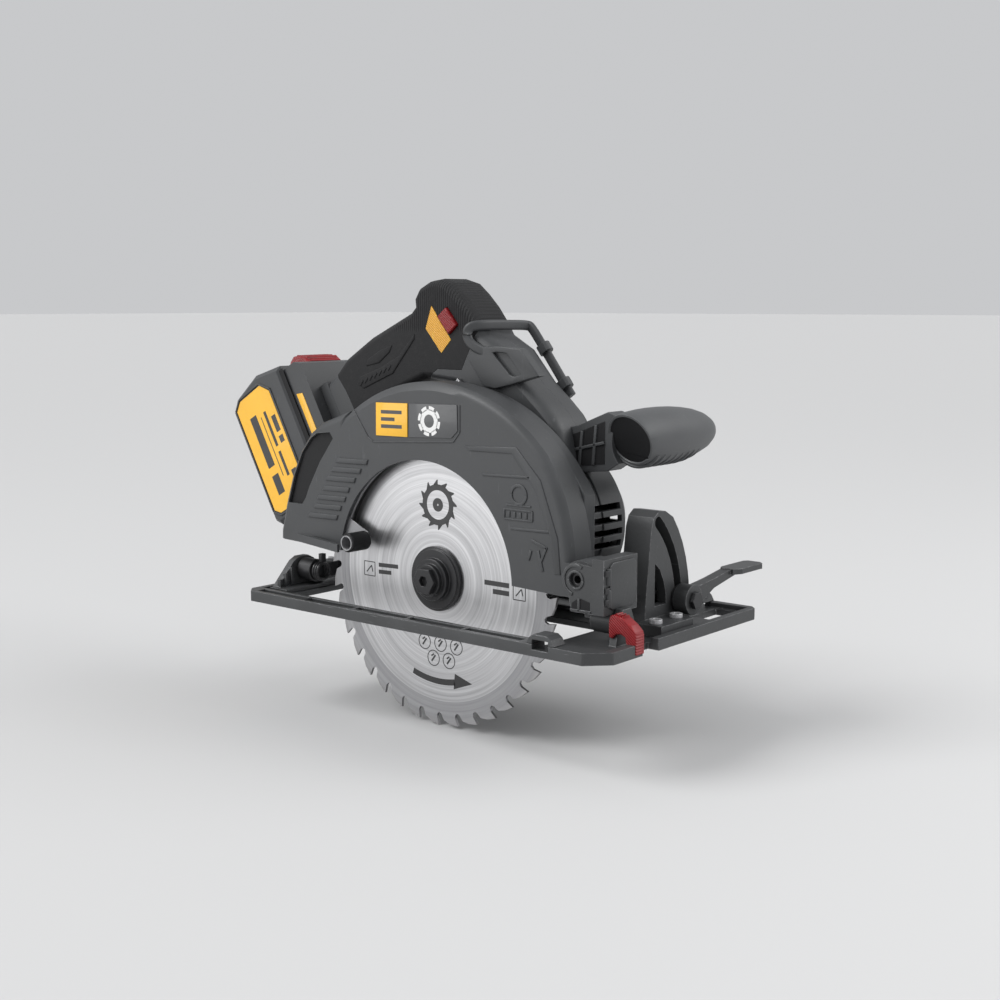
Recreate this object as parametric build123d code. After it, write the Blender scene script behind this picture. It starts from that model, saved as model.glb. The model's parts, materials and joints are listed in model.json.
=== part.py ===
from build123d import *
import math
import os

# Cordless circular saw, built as an assembly of separate solids, in millimetres.
# X points the way the saw cuts, Y points from the blade to the motor, Z points up.
# The origin lies on the sole, in the blade's mid-plane, straight under the spindle.

# ---- blade and spindle ---------------------------------------------------------------
BLADE_R = 92.0              # tip radius of the blade
BLADE_T = 1.8               # thickness of the blade's plate
TEETH = 36
GULLET = 8.0                # depth of the gap between two teeth
SPINDLE_Z = 24.0            # height of the spindle over the sole
SPINDLE_R = 8.0             # radius of the shaft, and of the blade's bore
FLANGE_R = 20.0
FLANGE_T = 3.6              # thickness of each clamping flange
BOLT_R = 4.0
BOLT_HEAD = 22.0            # how far the bolt head stands out from the blade's mid-plane

# ---- clearances ----------------------------------------------------------------------
RUN_FIT = 0.05              # radial clearance of a turning fit
SEAT_FIT = 0.1              # gap of a part that is laid in its seat
MOVE_GAP = 0.8              # gap between faces that sweep past each other

# ---- guards --------------------------------------------------------------------------
GUARD_FACE = 10.0           # distance of the guard's faces from the blade's mid-plane
GUARD_WALL = 2.5
GUARD_EDGE = 5.0            # width of the sloping rim round the guard's face
GUARD_R = 120.3             # outer radius of the guard's drum round the spindle
GUARD_NOSE_R = 108.3        # radius of the guard's front, which is centred higher
GUARD_NOSE_Z = 43.0
GUARD_INNER_W = 10.0        # width of the second half, on the motor side
WINDOW_R = 71.0             # round opening that shows the blade
WINDOW_X = -5.0
WINDOW_Z = 26.0
GUARD_REAR_X = -135.0
GUARD_FOOT = 31.4           # height of the guard's lower edge at the spindle
GUARD_FOOT_SLOPE = -0.0375
SWING_R = 97.0              # outer radius of the lower guard
SWING_WALL = 1.5
SWING_FACE = 6.5            # distance of the lower guard's faces from the mid-plane
SWING_START = 5.0           # first and last angle that the lower guard covers at rest
SWING_END = 165.0
SWING_EDGE_R = 76.0         # inner edge of the lower guard's outer wall
SNOUT_R = 17.3              # bearing snout that the lower guard turns on
LIFT_R = 59.0               # distance of the lift sleeve from the spindle
LIFT_ANGLE = 161.5
SLEEVE_R = 6.0
SLEEVE_BORE = 4.0
SLEEVE_END = 24.0

# ---- shoe ----------------------------------------------------------------------------
SHOE_BACK = -131.0
SHOE_FRONT = 153.0
SHOE_NEAR = -43.0
SHOE_FAR = 121.0
PLATE_T = 4.0
RIM_H = 7.0
RIM_W = 5.0
RAIL_W = 12.0               # the ribbed rail on the blade side
SLOT_FRONT = 106.0          # blade opening in the shoe
SLOT_BACK = -108.0
SLOT_FAR = 30.5
BEVEL_Z = 16.0              # height of the bevel pivot, in the blade's mid-plane
PIN_R = 4.0
BOSS_R = 7.5
QUAD_BACK = 112.0           # bevel quadrant
QUAD_FRONT = 130.0
QUAD_WEB = 6.0
QUAD_SLOT_R = 67.0
QUAD_SLOT_W = 7.0
BEVEL_MAX = 45.0
FENCE_X0 = 107.0            # tunnel for the rip fence's bar
FENCE_X1 = 118.0
FENCE_Z1 = 9.5

# ---- depth pivot and guide -----------------------------------------------------------
DEPTH_X = 115.0
DEPTH_Z = 39.0
LUG_R = 10.5
EAR_R = 9.5
EAR_T = 3.5
DEPTH_ARC_R = 152.0
DEPTH_ARC_W = 13.0
DEPTH_ARC_T = 2.5
DEPTH_BOLT_ANGLE = 6.0
DEPTH_MAX = 32.0

# ---- motor and gears -----------------------------------------------------------------
MOTOR_X = 44.0
MOTOR_Z = 58.0
MOTOR_R = 48.0
MOTOR_WALL = 3.0
BELL_Y0 = 24.0              # the gear case's bell, then the motor tube, then its end cap
TUBE_Y0 = 44.5
CAP_Y0 = 66.0
CAP_Y1 = 92.0
CAP_R = 30.0
MODULE = 1.0
SPINDLE_TEETH = 30
LAY_SMALL_TEETH = 14
LAY_BIG_TEETH = 46
PINION_TEETH = 22
GEAR_Y = 25.5               # start of the slow gear pair, then of the fast one
GEAR_W = 8.0
FAST_Y = 35.0
FAST_W = 5.5

# ---- handle --------------------------------------------------------------------------
GRIP_Y = 42.0               # mid-plane of the handle
GRIP_HALF = 18.0
GRIP_ROUND = [              # distance in from the handle's side, and how far the outline is set in there
    (0.0, 5.0), (1.2, 2.6), (4.0, 0.8), (8.0, 0.0),
]
SHELL = 3.0
SKIN = 2.0                  # rubber overmould
TRIGGER_HALF = 8.0
TRIGGER_PIVOT = (-11.0, 151.0)
KNOB_X = 120.0
KNOB_Z = 111.0
KNOB_R = 17.0
KNOB_Y0 = 25.0
KNOB_Y1 = 118.0

# ---- battery -------------------------------------------------------------------------
PACK_Y0 = 12.0
PACK_W = 72.0
PACK_WALL = 2.4
PACK_EDGE = 3.0             # chamfer round the cell box's side faces
PACK_BACK = -122.5          # pack outline along "across", the way from pack to handle
PACK_SPLIT = -64.5
PACK_HEAD = -45.5
PACK_TOP = -207.0           # pack outline along "down", the way the pack slides on
PACK_BOTTOM = -112.0
DOCK_FRONT = -38.0          # face of the battery dock that the handle meets
CELL_R = 9.1
CELL_L = 65.0
SLIDE = math.radians(60.6)  # lean of the pack's slide against the horizontal


# ---- helpers -------------------------------------------------------------------------
def slab_y(points, y0, y1):
    """Solid between two planes across Y, from an outline of (x, z) points."""
    outline = Polyline(*[(x, y1, z) for x, z in points], close=True)
    return extrude(make_face(outline), amount=y1 - y0, dir=(0, -1, 0))


def slab_x(points, x0, x1):
    """Solid between two planes across X, from an outline of (y, z) points."""
    outline = Polyline(*[(x0, y, z) for y, z in points], close=True)
    return extrude(make_face(outline), amount=x1 - x0, dir=(1, 0, 0))


def slab_z(points, z0, z1):
    """Solid between two heights, from an outline of (x, y) points."""
    outline = Polyline(*[(x, y, z0) for x, y in points], close=True)
    return extrude(make_face(outline), amount=z1 - z0, dir=(0, 0, 1))


def block(x0, x1, y0, y1, z0, z1):
    """Box between two corners."""
    return Pos(x0, y0, z0) * Box(x1 - x0, y1 - y0, z1 - z0, align=(Align.MIN,) * 3)


def disc_y(x, z, radius, y0, y1):
    """Cylinder along Y."""
    foot = Plane(origin=(x, y0, z), x_dir=(1, 0, 0), z_dir=(0, 1, 0))
    return foot * Cylinder(radius, y1 - y0, align=(Align.CENTER, Align.CENTER, Align.MIN))


def ruled_y(points0, y0, points1, y1):
    """Solid with straight sides between two outlines that have the same number of (x, z) points."""
    faces = []
    for points, y in ((points0, y0), (points1, y1)):
        faces.append(make_face(Polyline(*[(x, y, z) for x, z in points], close=True)))
    return loft(faces, ruled=True)


def cone_y(x, z, radius0, radius1, y0, y1):
    """Frustum along Y."""
    foot = Plane(origin=(x, y0, z), x_dir=(1, 0, 0), z_dir=(0, 1, 0))
    return foot * Cone(radius0, radius1, y1 - y0, align=(Align.CENTER, Align.CENTER, Align.MIN))


def disc_x(y, z, radius, x0, x1):
    """Cylinder along X."""
    foot = Plane(origin=(x0, y, z), x_dir=(0, 1, 0), z_dir=(1, 0, 0))
    return foot * Cylinder(radius, x1 - x0, align=(Align.CENTER, Align.CENTER, Align.MIN))


def disc_z(x, y, radius, z0, z1):
    """Cylinder along Z."""
    return Pos(x, y, z0) * Cylinder(radius, z1 - z0, align=(Align.CENTER, Align.CENTER, Align.MIN))


def ring_y(x, z, outer, inner, y0, y1):
    """Tube along Y."""
    return disc_y(x, z, outer, y0, y1) - disc_y(x, z, inner, y0 - 1, y1 + 1)


def around(x, z, radius, degrees):
    """Point (x, z) on a circle, with the angle measured from forward towards up."""
    angle = math.radians(degrees)
    return (x + radius * math.cos(angle), z + radius * math.sin(angle))


def fan_y(x, z, reach, start, end, y0, y1):
    """Wedge of a big disc along Y, between two angles."""
    steps = 12
    rim = [around(x, z, reach, start + (end - start) * i / steps) for i in range(steps + 1)]
    return slab_y([(x, z)] + rim, y0, y1)


def pack_point(down, across):
    """Point (x, z) in the pack's own leaning axes."""
    x = down * math.cos(SLIDE) + across * math.sin(SLIDE)
    z = -down * math.sin(SLIDE) + across * math.cos(SLIDE)
    return (x, z)


def pack_slab(points, y0, y1):
    """Solid between two planes across Y, from an outline of (down, across) points."""
    return slab_y([pack_point(down, across) for down, across in points], y0, y1)


def pack_box(down0, down1, across0, across1, y0, y1):
    """Box in the pack's leaning axes."""
    corners = [(down0, across0), (down1, across0), (down1, across1), (down0, across1)]
    return pack_slab(corners, y0, y1)


def inset(points, amount):
    """Outline moved inwards: every side is shifted, and the shifted sides meet in new corners."""
    count = len(points)
    area = sum(points[i - 1][0] * points[i][1] - points[i][0] * points[i - 1][1] for i in range(count))
    turn = 1 if area > 0 else -1
    moved = []
    for i in range(count):
        (ax, az), (bx, bz), (cx, cz) = points[i - 1], points[i], points[(i + 1) % count]
        length_in = math.hypot(bx - ax, bz - az)
        length_out = math.hypot(cx - bx, cz - bz)
        normal_in = (-turn * (bz - az) / length_in, turn * (bx - ax) / length_in)
        normal_out = (-turn * (cz - bz) / length_out, turn * (cx - bx) / length_out)
        spread = 1 + normal_in[0] * normal_out[0] + normal_in[1] * normal_out[1]
        moved.append((
            bx + amount * (normal_in[0] + normal_out[0]) / spread,
            bz + amount * (normal_in[1] + normal_out[1]) / spread,
        ))
    return moved


def gear(x, z, teeth, bore, y0, y1):
    """Spur gear whose tips stop at the pitch circle, so that a pair runs free."""
    pitch_r = MODULE * teeth / 2
    tip_r = pitch_r - RUN_FIT
    blank = ring_y(x, z, tip_r, bore, y0, y1)
    gap_w = MODULE * math.pi / 2
    cutter = block(tip_r - 1.5 * MODULE, tip_r + 1, y0 - 1, y1 + 1, -gap_w / 2, gap_w / 2)
    gaps = [Pos(x, 0, z) * Rot(0, 360 * i / teeth, 0) * cutter for i in range(teeth)]
    return blank - gaps


def bearing(x, z, outer, bore, y0, y1):
    """Ball bearing as two rings, with a shield between them."""
    step = (outer - bore) * 0.3
    races = ring_y(x, z, outer, outer - step, y0, y1) + ring_y(x, z, bore + step, bore, y0, y1)
    return races + ring_y(x, z, outer - step, bore + step, y0 + 0.8, y1 - 0.8)


parts = {}


# ---- shoe ----------------------------------------------------------------------------
def make_shoe_plate():
    toe = 3.0
    outline = [
        (SHOE_BACK, SHOE_NEAR + 6), (SHOE_BACK + 6, SHOE_NEAR), (SHOE_FRONT - 12, SHOE_NEAR),
        (SHOE_FRONT, SHOE_NEAR + 12), (SHOE_FRONT, SHOE_FAR - 4), (SHOE_FRONT - 4, SHOE_FAR),
        (SHOE_BACK + 4, SHOE_FAR), (SHOE_BACK, SHOE_FAR - 4),
    ]
    plate = slab_z(outline, 0, RIM_H)
    inner = slab_z(
        [
            (SHOE_BACK + RIM_W, SHOE_NEAR + RAIL_W), (SHOE_FRONT - RIM_W, SHOE_NEAR + RAIL_W),
            (SHOE_FRONT - RIM_W, SHOE_FAR - RIM_W), (SHOE_BACK + RIM_W, SHOE_FAR - RIM_W),
        ],
        PLATE_T, RIM_H + 1,
    )
    plate -= inner
    plate -= block(SLOT_BACK, SLOT_FRONT, SHOE_NEAR + RAIL_W + 0.5, SLOT_FAR, -1, RIM_H + 1)
    plate -= block(SHOE_FRONT - 7, SHOE_FRONT + 1, -toe, 12, -1, RIM_H + 1)
    plate -= block(128, 144, 84, SHOE_FAR - RIM_W - 3, -1, PLATE_T + 1)
    plate -= block(-112, -60, 62, SHOE_FAR - RIM_W - 8, -1, PLATE_T + 1)
    pocket_count = 5
    pitch = (FENCE_X0 - 8 - (SHOE_BACK + 10)) / pocket_count
    for i in range(pocket_count):
        start = SHOE_BACK + 10 + i * pitch
        plate -= block(start, start + pitch - 2.5, SHOE_NEAR + 3, SHOE_NEAR + RAIL_W - 3, 3, RIM_H + 1)
    for y in (50.0, 80.0):
        plate += block(SLOT_BACK + 60, SLOT_FRONT, y - 1.5, y + 1.5, PLATE_T - 1, RIM_H)
    lug_x = QUAD_FRONT + 5
    lug_outline = [(-11, 1), (-BOSS_R, BEVEL_Z), (-4, 24), (4, 24), (BOSS_R, BEVEL_Z), (11, 1)]
    lug = slab_x(lug_outline, lug_x, lug_x + 5)
    lug -= disc_x(0, BEVEL_Z, PIN_R + RUN_FIT, lug_x - 1, lug_x + 6)
    plate += lug
    plate -= block(FENCE_X0, FENCE_X1, SHOE_NEAR - 1, SHOE_NEAR + RAIL_W + 1, PLATE_T, RIM_H + 1)
    plate -= block(FENCE_X0, FENCE_X1, SHOE_FAR - RIM_W - 1, SHOE_FAR + 1, PLATE_T, RIM_H + 1)
    return plate


def make_fence_guides():
    """Two strap bridges that hold the bar of a rip fence."""
    guides = None
    for y0, y1 in ((SHOE_NEAR, SHOE_NEAR + RAIL_W - 1), (SHOE_FAR - RIM_W - 8, SHOE_FAR)):
        top = FENCE_Z1 + 3.2
        strap = slab_y(
            [
                (FENCE_X0 - 4, RIM_H), (FENCE_X0 - 2, top - 2), (FENCE_X0 + 1, top),
                (FENCE_X1 - 1, top), (FENCE_X1 + 2, top - 2), (FENCE_X1 + 4, RIM_H),
            ],
            y0, y1,
        )
        strap -= block(FENCE_X0, FENCE_X1, y0 - 1, y1 + 1, 0, FENCE_Z1)
        guides = strap if guides is None else guides + strap
    return guides


def quad_outline():
    """Outline (y, z) of the bevel quadrant's front face."""
    rim = [around(-1, BEVEL_Z, 80, a) for a in (40, 33, 26, 19, 12, 7.8)]
    top = [(31.7, PLATE_T), (33, 22), (35.6, 45), (38, 63), (40.5, 69), (45.5, 72.4), (52, 71.8)]
    return top + rim + [(79.7, PLATE_T)]


def slot_arc_x(radius, width, start, end, x0, x1):
    """Curved slot about the bevel pivot, cut along X."""
    steps = 10
    angles = [start + (end - start) * i / steps for i in range(steps + 1)]
    outer = [around(0, BEVEL_Z, radius + width / 2, angle) for angle in angles]
    inner = [around(0, BEVEL_Z, radius - width / 2, angle) for angle in reversed(angles)]
    slot = slab_x(outer + inner, x0, x1)
    for angle in (start, end):
        y, z = around(0, BEVEL_Z, radius, angle)
        slot += disc_x(y, z, width / 2, x0, x1)
    return slot


def make_bevel_quadrant():
    body = slab_x(quad_outline(), QUAD_BACK, QUAD_FRONT)
    hollow = slab_x(
        [(40, PLATE_T - 1), (42, 45), (46, 60), (53, 61.5), (62, 51), (71, 36), (74.5, PLATE_T - 1)],
        QUAD_BACK - 1, QUAD_FRONT - QUAD_WEB,
    )
    body -= hollow
    body -= slot_arc_x(QUAD_SLOT_R, QUAD_SLOT_W, 2, BEVEL_MAX + 3, QUAD_BACK - 1, QUAD_FRONT + 1)
    window = [(42, 17), (42, 42), (47, 38), (51, 31), (53.5, 24), (54, 17)]
    body -= slab_x(window, QUAD_BACK - 1, QUAD_FRONT + 1)
    body += block(QUAD_FRONT - 0.5, SHOE_FRONT - RIM_W - 1, 24, 57, PLATE_T, 10.5)
    body -= block(FENCE_X0, FENCE_X1 + 0.5, 20, 90, PLATE_T - 1, FENCE_Z1)
    return body


def make_quadrant_screws():
    screws = None
    for y in (30.0, 51.0):
        x = QUAD_FRONT + 9
        screw = disc_z(x, y, 3.8, 10.5, 13) - disc_z(x, y, 1.6, 11.5, 14)
        screws = screw if screws is None else screws + screw
    return screws


def make_rear_hinge():
    """Fixed rear bracket: two cheeks and a ribbed ramp that leads up to the pin."""
    back = SHOE_BACK + RIM_W + 0.1
    cheek = slab_x([(-26, PLATE_T), (-9, 22), (-4, 24.5), (4, 24.5), (9, 22), (20, PLATE_T)], back, back + 5)
    ramp = block(back, back + 16, -26, 20, PLATE_T, PLATE_T + 2.5)
    ribs = [
        slab_x([(y - 1, PLATE_T + 2), (y - 1, 9 + 12 * (26 + y) / 18), (y + 1, 9 + 12 * (26 + y) / 18),
                (y + 1, PLATE_T + 2)], back + 4, back + 7)
        for y in (-22, -17, -12)
    ]
    body = cheek + ramp + ribs
    body -= disc_x(0, BEVEL_Z, PIN_R + RUN_FIT, back - 1, back + 8)
    body -= disc_x(0, BEVEL_Z, BOSS_R + 1.5, back + 5.0, back + 20)
    return body


def make_pointer():
    """Cut-line pointer: a red block on the shoe with two prongs at the front notch."""
    x0 = QUAD_FRONT + 10.6
    prong = [(x0, PLATE_T), (x0, 20), (x0 + 4, 22), (x0 + 7, 20), (x0 + 12, 11), (x0 + 15.4, 8.6),
             (x0 + 15.4, RIM_H + 0.3), (x0 + 6, RIM_H + 0.3), (x0 + 5, PLATE_T)]
    bridge = [(x0 + 0.5, PLATE_T + 0.5), (x0 + 0.5, 19), (x0 + 3, 20), (x0 + 3, PLATE_T + 0.5)]
    return slab_y(prong, -8, -1.2) + slab_y(prong, 0.8, 5) + slab_y(bridge, -4, 3)


# ---- bevel frame ---------------------------------------------------------------------
def make_front_bracket():
    ear = disc_y(DEPTH_X, DEPTH_Z, EAR_R, -14, -14 + EAR_T)
    ear += slab_y([(DEPTH_X - 6, DEPTH_Z - 5), (DEPTH_X - 3, 21), (130, 21), (130, DEPTH_Z + 8.5),
                   (DEPTH_X, DEPTH_Z + EAR_R)], -14, -14 + EAR_T)
    body = ear + mirror(ear, about=Plane.XZ)
    body += block(112, 134, -14, 14, 21, 26.5)
    body += block(126, 134, -14, 18, 21, 52)
    body += disc_x(0, BEVEL_Z, BOSS_R, 120, 134)
    body += block(120, 134, -5, 5, BEVEL_Z, 22)
    arm = slab_x([(8, 13), (8, 25), (26, 25), (40, 34), (78, 34), (80, 12)], 105, 111.4)
    body += arm + block(105, 113, 8, 14, 21, 25)
    y, z = around(0, BEVEL_Z, QUAD_SLOT_R, 2)
    body -= disc_y(DEPTH_X, DEPTH_Z, PIN_R + RUN_FIT, -20, 20)
    body -= disc_x(0, BEVEL_Z, PIN_R + SEAT_FIT, 100, 140)
    body -= disc_x(y, z, PIN_R - 1 + SEAT_FIT, 100, 115)
    body -= disc_y(DEPTH_X, DEPTH_Z, LUG_R + MOVE_GAP, -GUARD_FACE - 0.4, GUARD_FACE + 0.4)
    return body


def make_tilt_pins():
    front = disc_x(0, BEVEL_Z, PIN_R, 119, QUAD_FRONT + 10.2)
    rear_start = SHOE_BACK + RIM_W - 2.5
    rear = disc_x(0, BEVEL_Z, PIN_R, rear_start + 2.5, rear_start + 23)
    rear += disc_x(0, BEVEL_Z, 6, rear_start, rear_start + 2.5)
    return front + rear


def depth_point(radius, degrees):
    """Point (x, z) about the depth pivot, with the angle measured from rearward up."""
    angle = math.radians(degrees)
    return (DEPTH_X - radius * math.cos(angle), DEPTH_Z + radius * math.sin(angle))


def make_depth_arc():
    """Curved guide that stands on the rear bracket, with the slot for the depth bolt."""
    y0 = GUARD_FACE + GUARD_INNER_W + MOVE_GAP
    y1 = y0 + DEPTH_ARC_T
    steps = 14
    low, high = -9.0, DEPTH_BOLT_ANGLE + DEPTH_MAX + 4

    def band(inner_r, outer_r, start, end):
        outer = [depth_point(outer_r, start + (end - start) * i / steps) for i in range(steps + 1)]
        inner = [depth_point(inner_r, end + (start - end) * i / steps) for i in range(steps + 1)]
        return slab_y(outer + inner, y0, y1)

    half = DEPTH_ARC_W / 2
    arc = band(DEPTH_ARC_R - half, DEPTH_ARC_R + half, low, high)
    arc += slab_y([(-120, 9), (-120, 21), (-60, 24), (-40, 24), depth_point(DEPTH_ARC_R - half, low + 1), (-36, 9)], y0, y1)
    slot_half = PIN_R - 1 + 0.3
    slot = band(DEPTH_ARC_R - slot_half, DEPTH_ARC_R + slot_half, DEPTH_BOLT_ANGLE, DEPTH_BOLT_ANGLE + DEPTH_MAX)
    for angle in (DEPTH_BOLT_ANGLE, DEPTH_BOLT_ANGLE + DEPTH_MAX):
        x, z = depth_point(DEPTH_ARC_R, angle)
        slot += disc_y(x, z, slot_half, y0, y1)
    return arc - slot


def make_rear_bracket():
    """Tilting rear bracket: hub on the pin and an arm that carries the depth guide."""
    x0 = SHOE_BACK + RIM_W + 6
    hub = disc_x(0, BEVEL_Z, BOSS_R, x0, x0 + 12)
    y_guide = GUARD_FACE + GUARD_INNER_W + MOVE_GAP
    arm = slab_x([(0, BEVEL_Z - 5), (0, BEVEL_Z + 5), (y_guide, 20), (y_guide, 10)], x0, x0 + 12)
    body = hub + arm
    body -= disc_x(0, BEVEL_Z, PIN_R + SEAT_FIT, x0 - 1, x0 + 14)
    return body


def make_guide_rivets():
    y0 = GUARD_FACE + GUARD_INNER_W + MOVE_GAP + DEPTH_ARC_T
    return disc_y(SHOE_BACK + RIM_W + 12, 15, 3, y0, y0 + 1.6)


# ---- bevel lock ----------------------------------------------------------------------
def make_bevel_lever():
    y, z = around(0, BEVEL_Z, QUAD_SLOT_R, 2)
    x0 = QUAD_FRONT + 2
    hub = disc_x(y, z, 9, x0, x0 + 9) - disc_x(y, z, PIN_R - 1 + SEAT_FIT, x0 - 1, x0 + 10)
    arm = slab_x([(y + 5, z - 3), (y + 3, z + 7), (y + 22, z + 9), (y + 46, z + 12.5), (y + 73, z + 12.5),
                  (y + 75, z + 10.5), (y + 73, z + 8.5), (y + 48, z + 8), (y + 24, z + 3.5), (y + 12, z - 2)],
                 x0 + 1, x0 + 8)
    paddle = slab_z([(x0 - 1, y + 46), (x0 + 1, y + 42), (x0 + 10, y + 42), (x0 + 13, y + 48), (x0 + 13, y + 72),
                     (x0 + 10, y + 75), (x0 + 1, y + 75), (x0 - 1, y + 72)], z + 9, z + 12.5)
    arm -= disc_x(y, z, 8, x0 - 1, x0 + 10)
    return hub + arm + paddle


def make_bevel_bolt():
    y, z = around(0, BEVEL_Z, QUAD_SLOT_R, 2)
    shank = disc_x(y, z, PIN_R - 1, 104, QUAD_FRONT + 11)
    head_foot = Plane(origin=(101, y, z), x_dir=(0, 1, 0), z_dir=(1, 0, 0))
    head = head_foot * extrude(RegularPolygon(6.5, 6), amount=3.9)
    nut_foot = Plane(origin=(QUAD_FRONT + 11, y, z), x_dir=(0, 1, 0), z_dir=(1, 0, 0))
    nut = nut_foot * extrude(RegularPolygon(5.5, 6), amount=3)
    washer = disc_x(y, z, 8.5, QUAD_FRONT + 0.3, QUAD_FRONT + 1.8)
    return shank + head + nut + washer


# ---- upper guard ---------------------------------------------------------------------
def foot_z(x):
    """Height of the guard's lower edge."""
    return GUARD_FOOT + GUARD_FOOT_SLOPE * x


CHUTE = [                   # outline of the guard's rear, which throws the chips out
    (-70, 123), (-80, 119.6), (-94, 115), (-104, 108.5), (-114, 96), (-122, 81), (-128.5, 62),
    (-134, 42), (GUARD_REAR_X, 20), (-60, 20),
]


def guard_blank(shrink, y0, y1):
    """Guard's outer form between two planes, moved inwards by shrink."""
    drum = disc_y(0, SPINDLE_Z, GUARD_R - shrink, y0, y1)
    nose = disc_y(0, GUARD_NOSE_Z, GUARD_NOSE_R - shrink, y0, y1) + block(-140, 0, y0, y1, 0, 160)
    form = drum & nose
    form += slab_y(inset_if(CHUTE, shrink), y0, y1)
    return form


def inset_if(points, amount):
    """Inset outline, or the outline itself where nothing is taken off."""
    return inset(points, amount) if amount > 0 else points


def below_guard(raise_by=0.0):
    """Everything under the guard's lower edge."""
    return slab_y(
        [(-150, foot_z(-150) + raise_by), (130, foot_z(130) + raise_by), (130, -120), (-150, -120)],
        -60, 120,
    )


def guard_form(y0, y1, shrink):
    return guard_blank(shrink, y0, y1) - below_guard()


def guard_edge(y0, y1, shrink0, shrink1):
    """Slice of the guard whose rim slopes, which rounds the face off."""
    drum = cone_y(0, SPINDLE_Z, GUARD_R - shrink0, GUARD_R - shrink1, y0, y1)
    nose = cone_y(0, GUARD_NOSE_Z, GUARD_NOSE_R - shrink0, GUARD_NOSE_R - shrink1, y0, y1)
    form = drum & (nose + block(-140, 0, y0, y1, 0, 160))
    form += ruled_y(inset_if(CHUTE, shrink0), y0, inset_if(CHUTE, shrink1), y1)
    return form - below_guard()


def make_upper_guard():
    body = guard_form(-GUARD_FACE + GUARD_EDGE, GUARD_FACE, 0)
    middle = -GUARD_FACE + GUARD_EDGE * 0.4
    body += guard_edge(-GUARD_FACE, middle, GUARD_EDGE, GUARD_EDGE * 0.35)
    body += guard_edge(middle, -GUARD_FACE + GUARD_EDGE, GUARD_EDGE * 0.35, 0)
    room = guard_blank(GUARD_WALL + 1.0, -GUARD_FACE + GUARD_WALL, GUARD_FACE - GUARD_WALL)
    body -= room
    body -= disc_y(WINDOW_X, WINDOW_Z, WINDOW_R, -GUARD_FACE - 1, 0)
    body -= disc_y(0, SPINDLE_Z, SNOUT_R + 0.4, 0, GUARD_FACE + 1)
    port = slab_y([(-96.5, 108), (-84, 109.5), (-81, 105.6), (-93.3, 90), (-103.7, 73), (-107.3, 65.5),
                   (-110.8, 61), (-124.5, 61), (-118.5, 79), (-111, 95), (-103, 104)],
                  -GUARD_FACE - 1, -GUARD_FACE + GUARD_WALL + 1)
    body -= port
    lug = disc_y(DEPTH_X, DEPTH_Z, LUG_R, -GUARD_FACE, GUARD_FACE)
    lug += block(98, DEPTH_X, -GUARD_FACE, GUARD_FACE, foot_z(98), DEPTH_Z + 8)
    lug -= disc_y(0, SPINDLE_Z, SWING_R + 1.5, -GUARD_FACE - 1, GUARD_FACE + 1)
    body += lug
    body -= disc_y(DEPTH_X, DEPTH_Z, PIN_R + SEAT_FIT, -GUARD_FACE - 1, GUARD_FACE + 1)
    lip_outline = [(-117, -GUARD_FACE), (-64, -SLEEVE_END), (-64, -SLEEVE_END + 2), (-110, -GUARD_FACE + 2.4)]
    lip = slab_z(lip_outline, 36, 41)
    body += lip - below_guard(0.2)
    return body


def make_guard_inner_half():
    y0 = GUARD_FACE
    y1 = GUARD_FACE + GUARD_INNER_W
    form = disc_y(0, SPINDLE_Z, GUARD_R - 2, y0, y1) & block(-64, 103, y0, y1, 20, 160)
    form -= below_guard()
    room = disc_y(0, SPINDLE_Z, GUARD_R - 2 - SHELL, y0 - 1, y1 - SHELL) & block(-61, 100, y0, y1, 0, 160)
    form -= room
    form += ring_y(0, SPINDLE_Z, SNOUT_R + 6, SNOUT_R + 0.4, y0, y1 - 1) - below_guard()
    form -= disc_y(0, SPINDLE_Z, SNOUT_R + 0.4, y0 - 1, y1 + 1)
    return form


def make_guard_insert():
    """Dark liner behind the chip outlet in the guard's face."""
    return slab_y([(-97, 110.5), (-82, 112), (-78, 105.6), (-91, 89), (-101, 72), (-104.5, 65), (-107, 58.5),
                   (-126, 58.5), (-121, 79), (-113.5, 95), (-105.5, 105)],
                  -GUARD_FACE + GUARD_WALL + 0.1, -GUARD_FACE + GUARD_WALL + 1.6) & guard_blank(
                      GUARD_WALL + 1.1, -GUARD_FACE, GUARD_FACE)


def make_badge():
    y1 = -GUARD_FACE
    return slab_y([(-45, 115), (-45, 134), (20, 137), (24, 133), (24, 121), (17, 115)], y1 - 0.6, y1)


# ---- lower guard ---------------------------------------------------------------------
def make_lower_guard():
    full = disc_y(0, SPINDLE_Z, SWING_R, -SWING_FACE, SWING_FACE)
    full -= disc_y(0, SPINDLE_Z, SWING_R - SWING_WALL, -SWING_FACE + SWING_WALL, SWING_FACE - SWING_WALL)
    full -= disc_y(0, SPINDLE_Z, SWING_EDGE_R, -SWING_FACE - 1, 0)
    sector = fan_y(0, SPINDLE_Z, 2 * SWING_R, SWING_START, SWING_END, -20, 20)
    shell = full & sector
    hub = disc_y(0, SPINDLE_Z, SNOUT_R + 6, SWING_FACE - SWING_WALL, SWING_FACE)
    shell += hub
    shell -= disc_y(0, SPINDLE_Z, SNOUT_R + RUN_FIT, 0, SWING_FACE + 1)
    return shell


def lift_point():
    return around(0, SPINDLE_Z, LIFT_R, LIFT_ANGLE)


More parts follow.
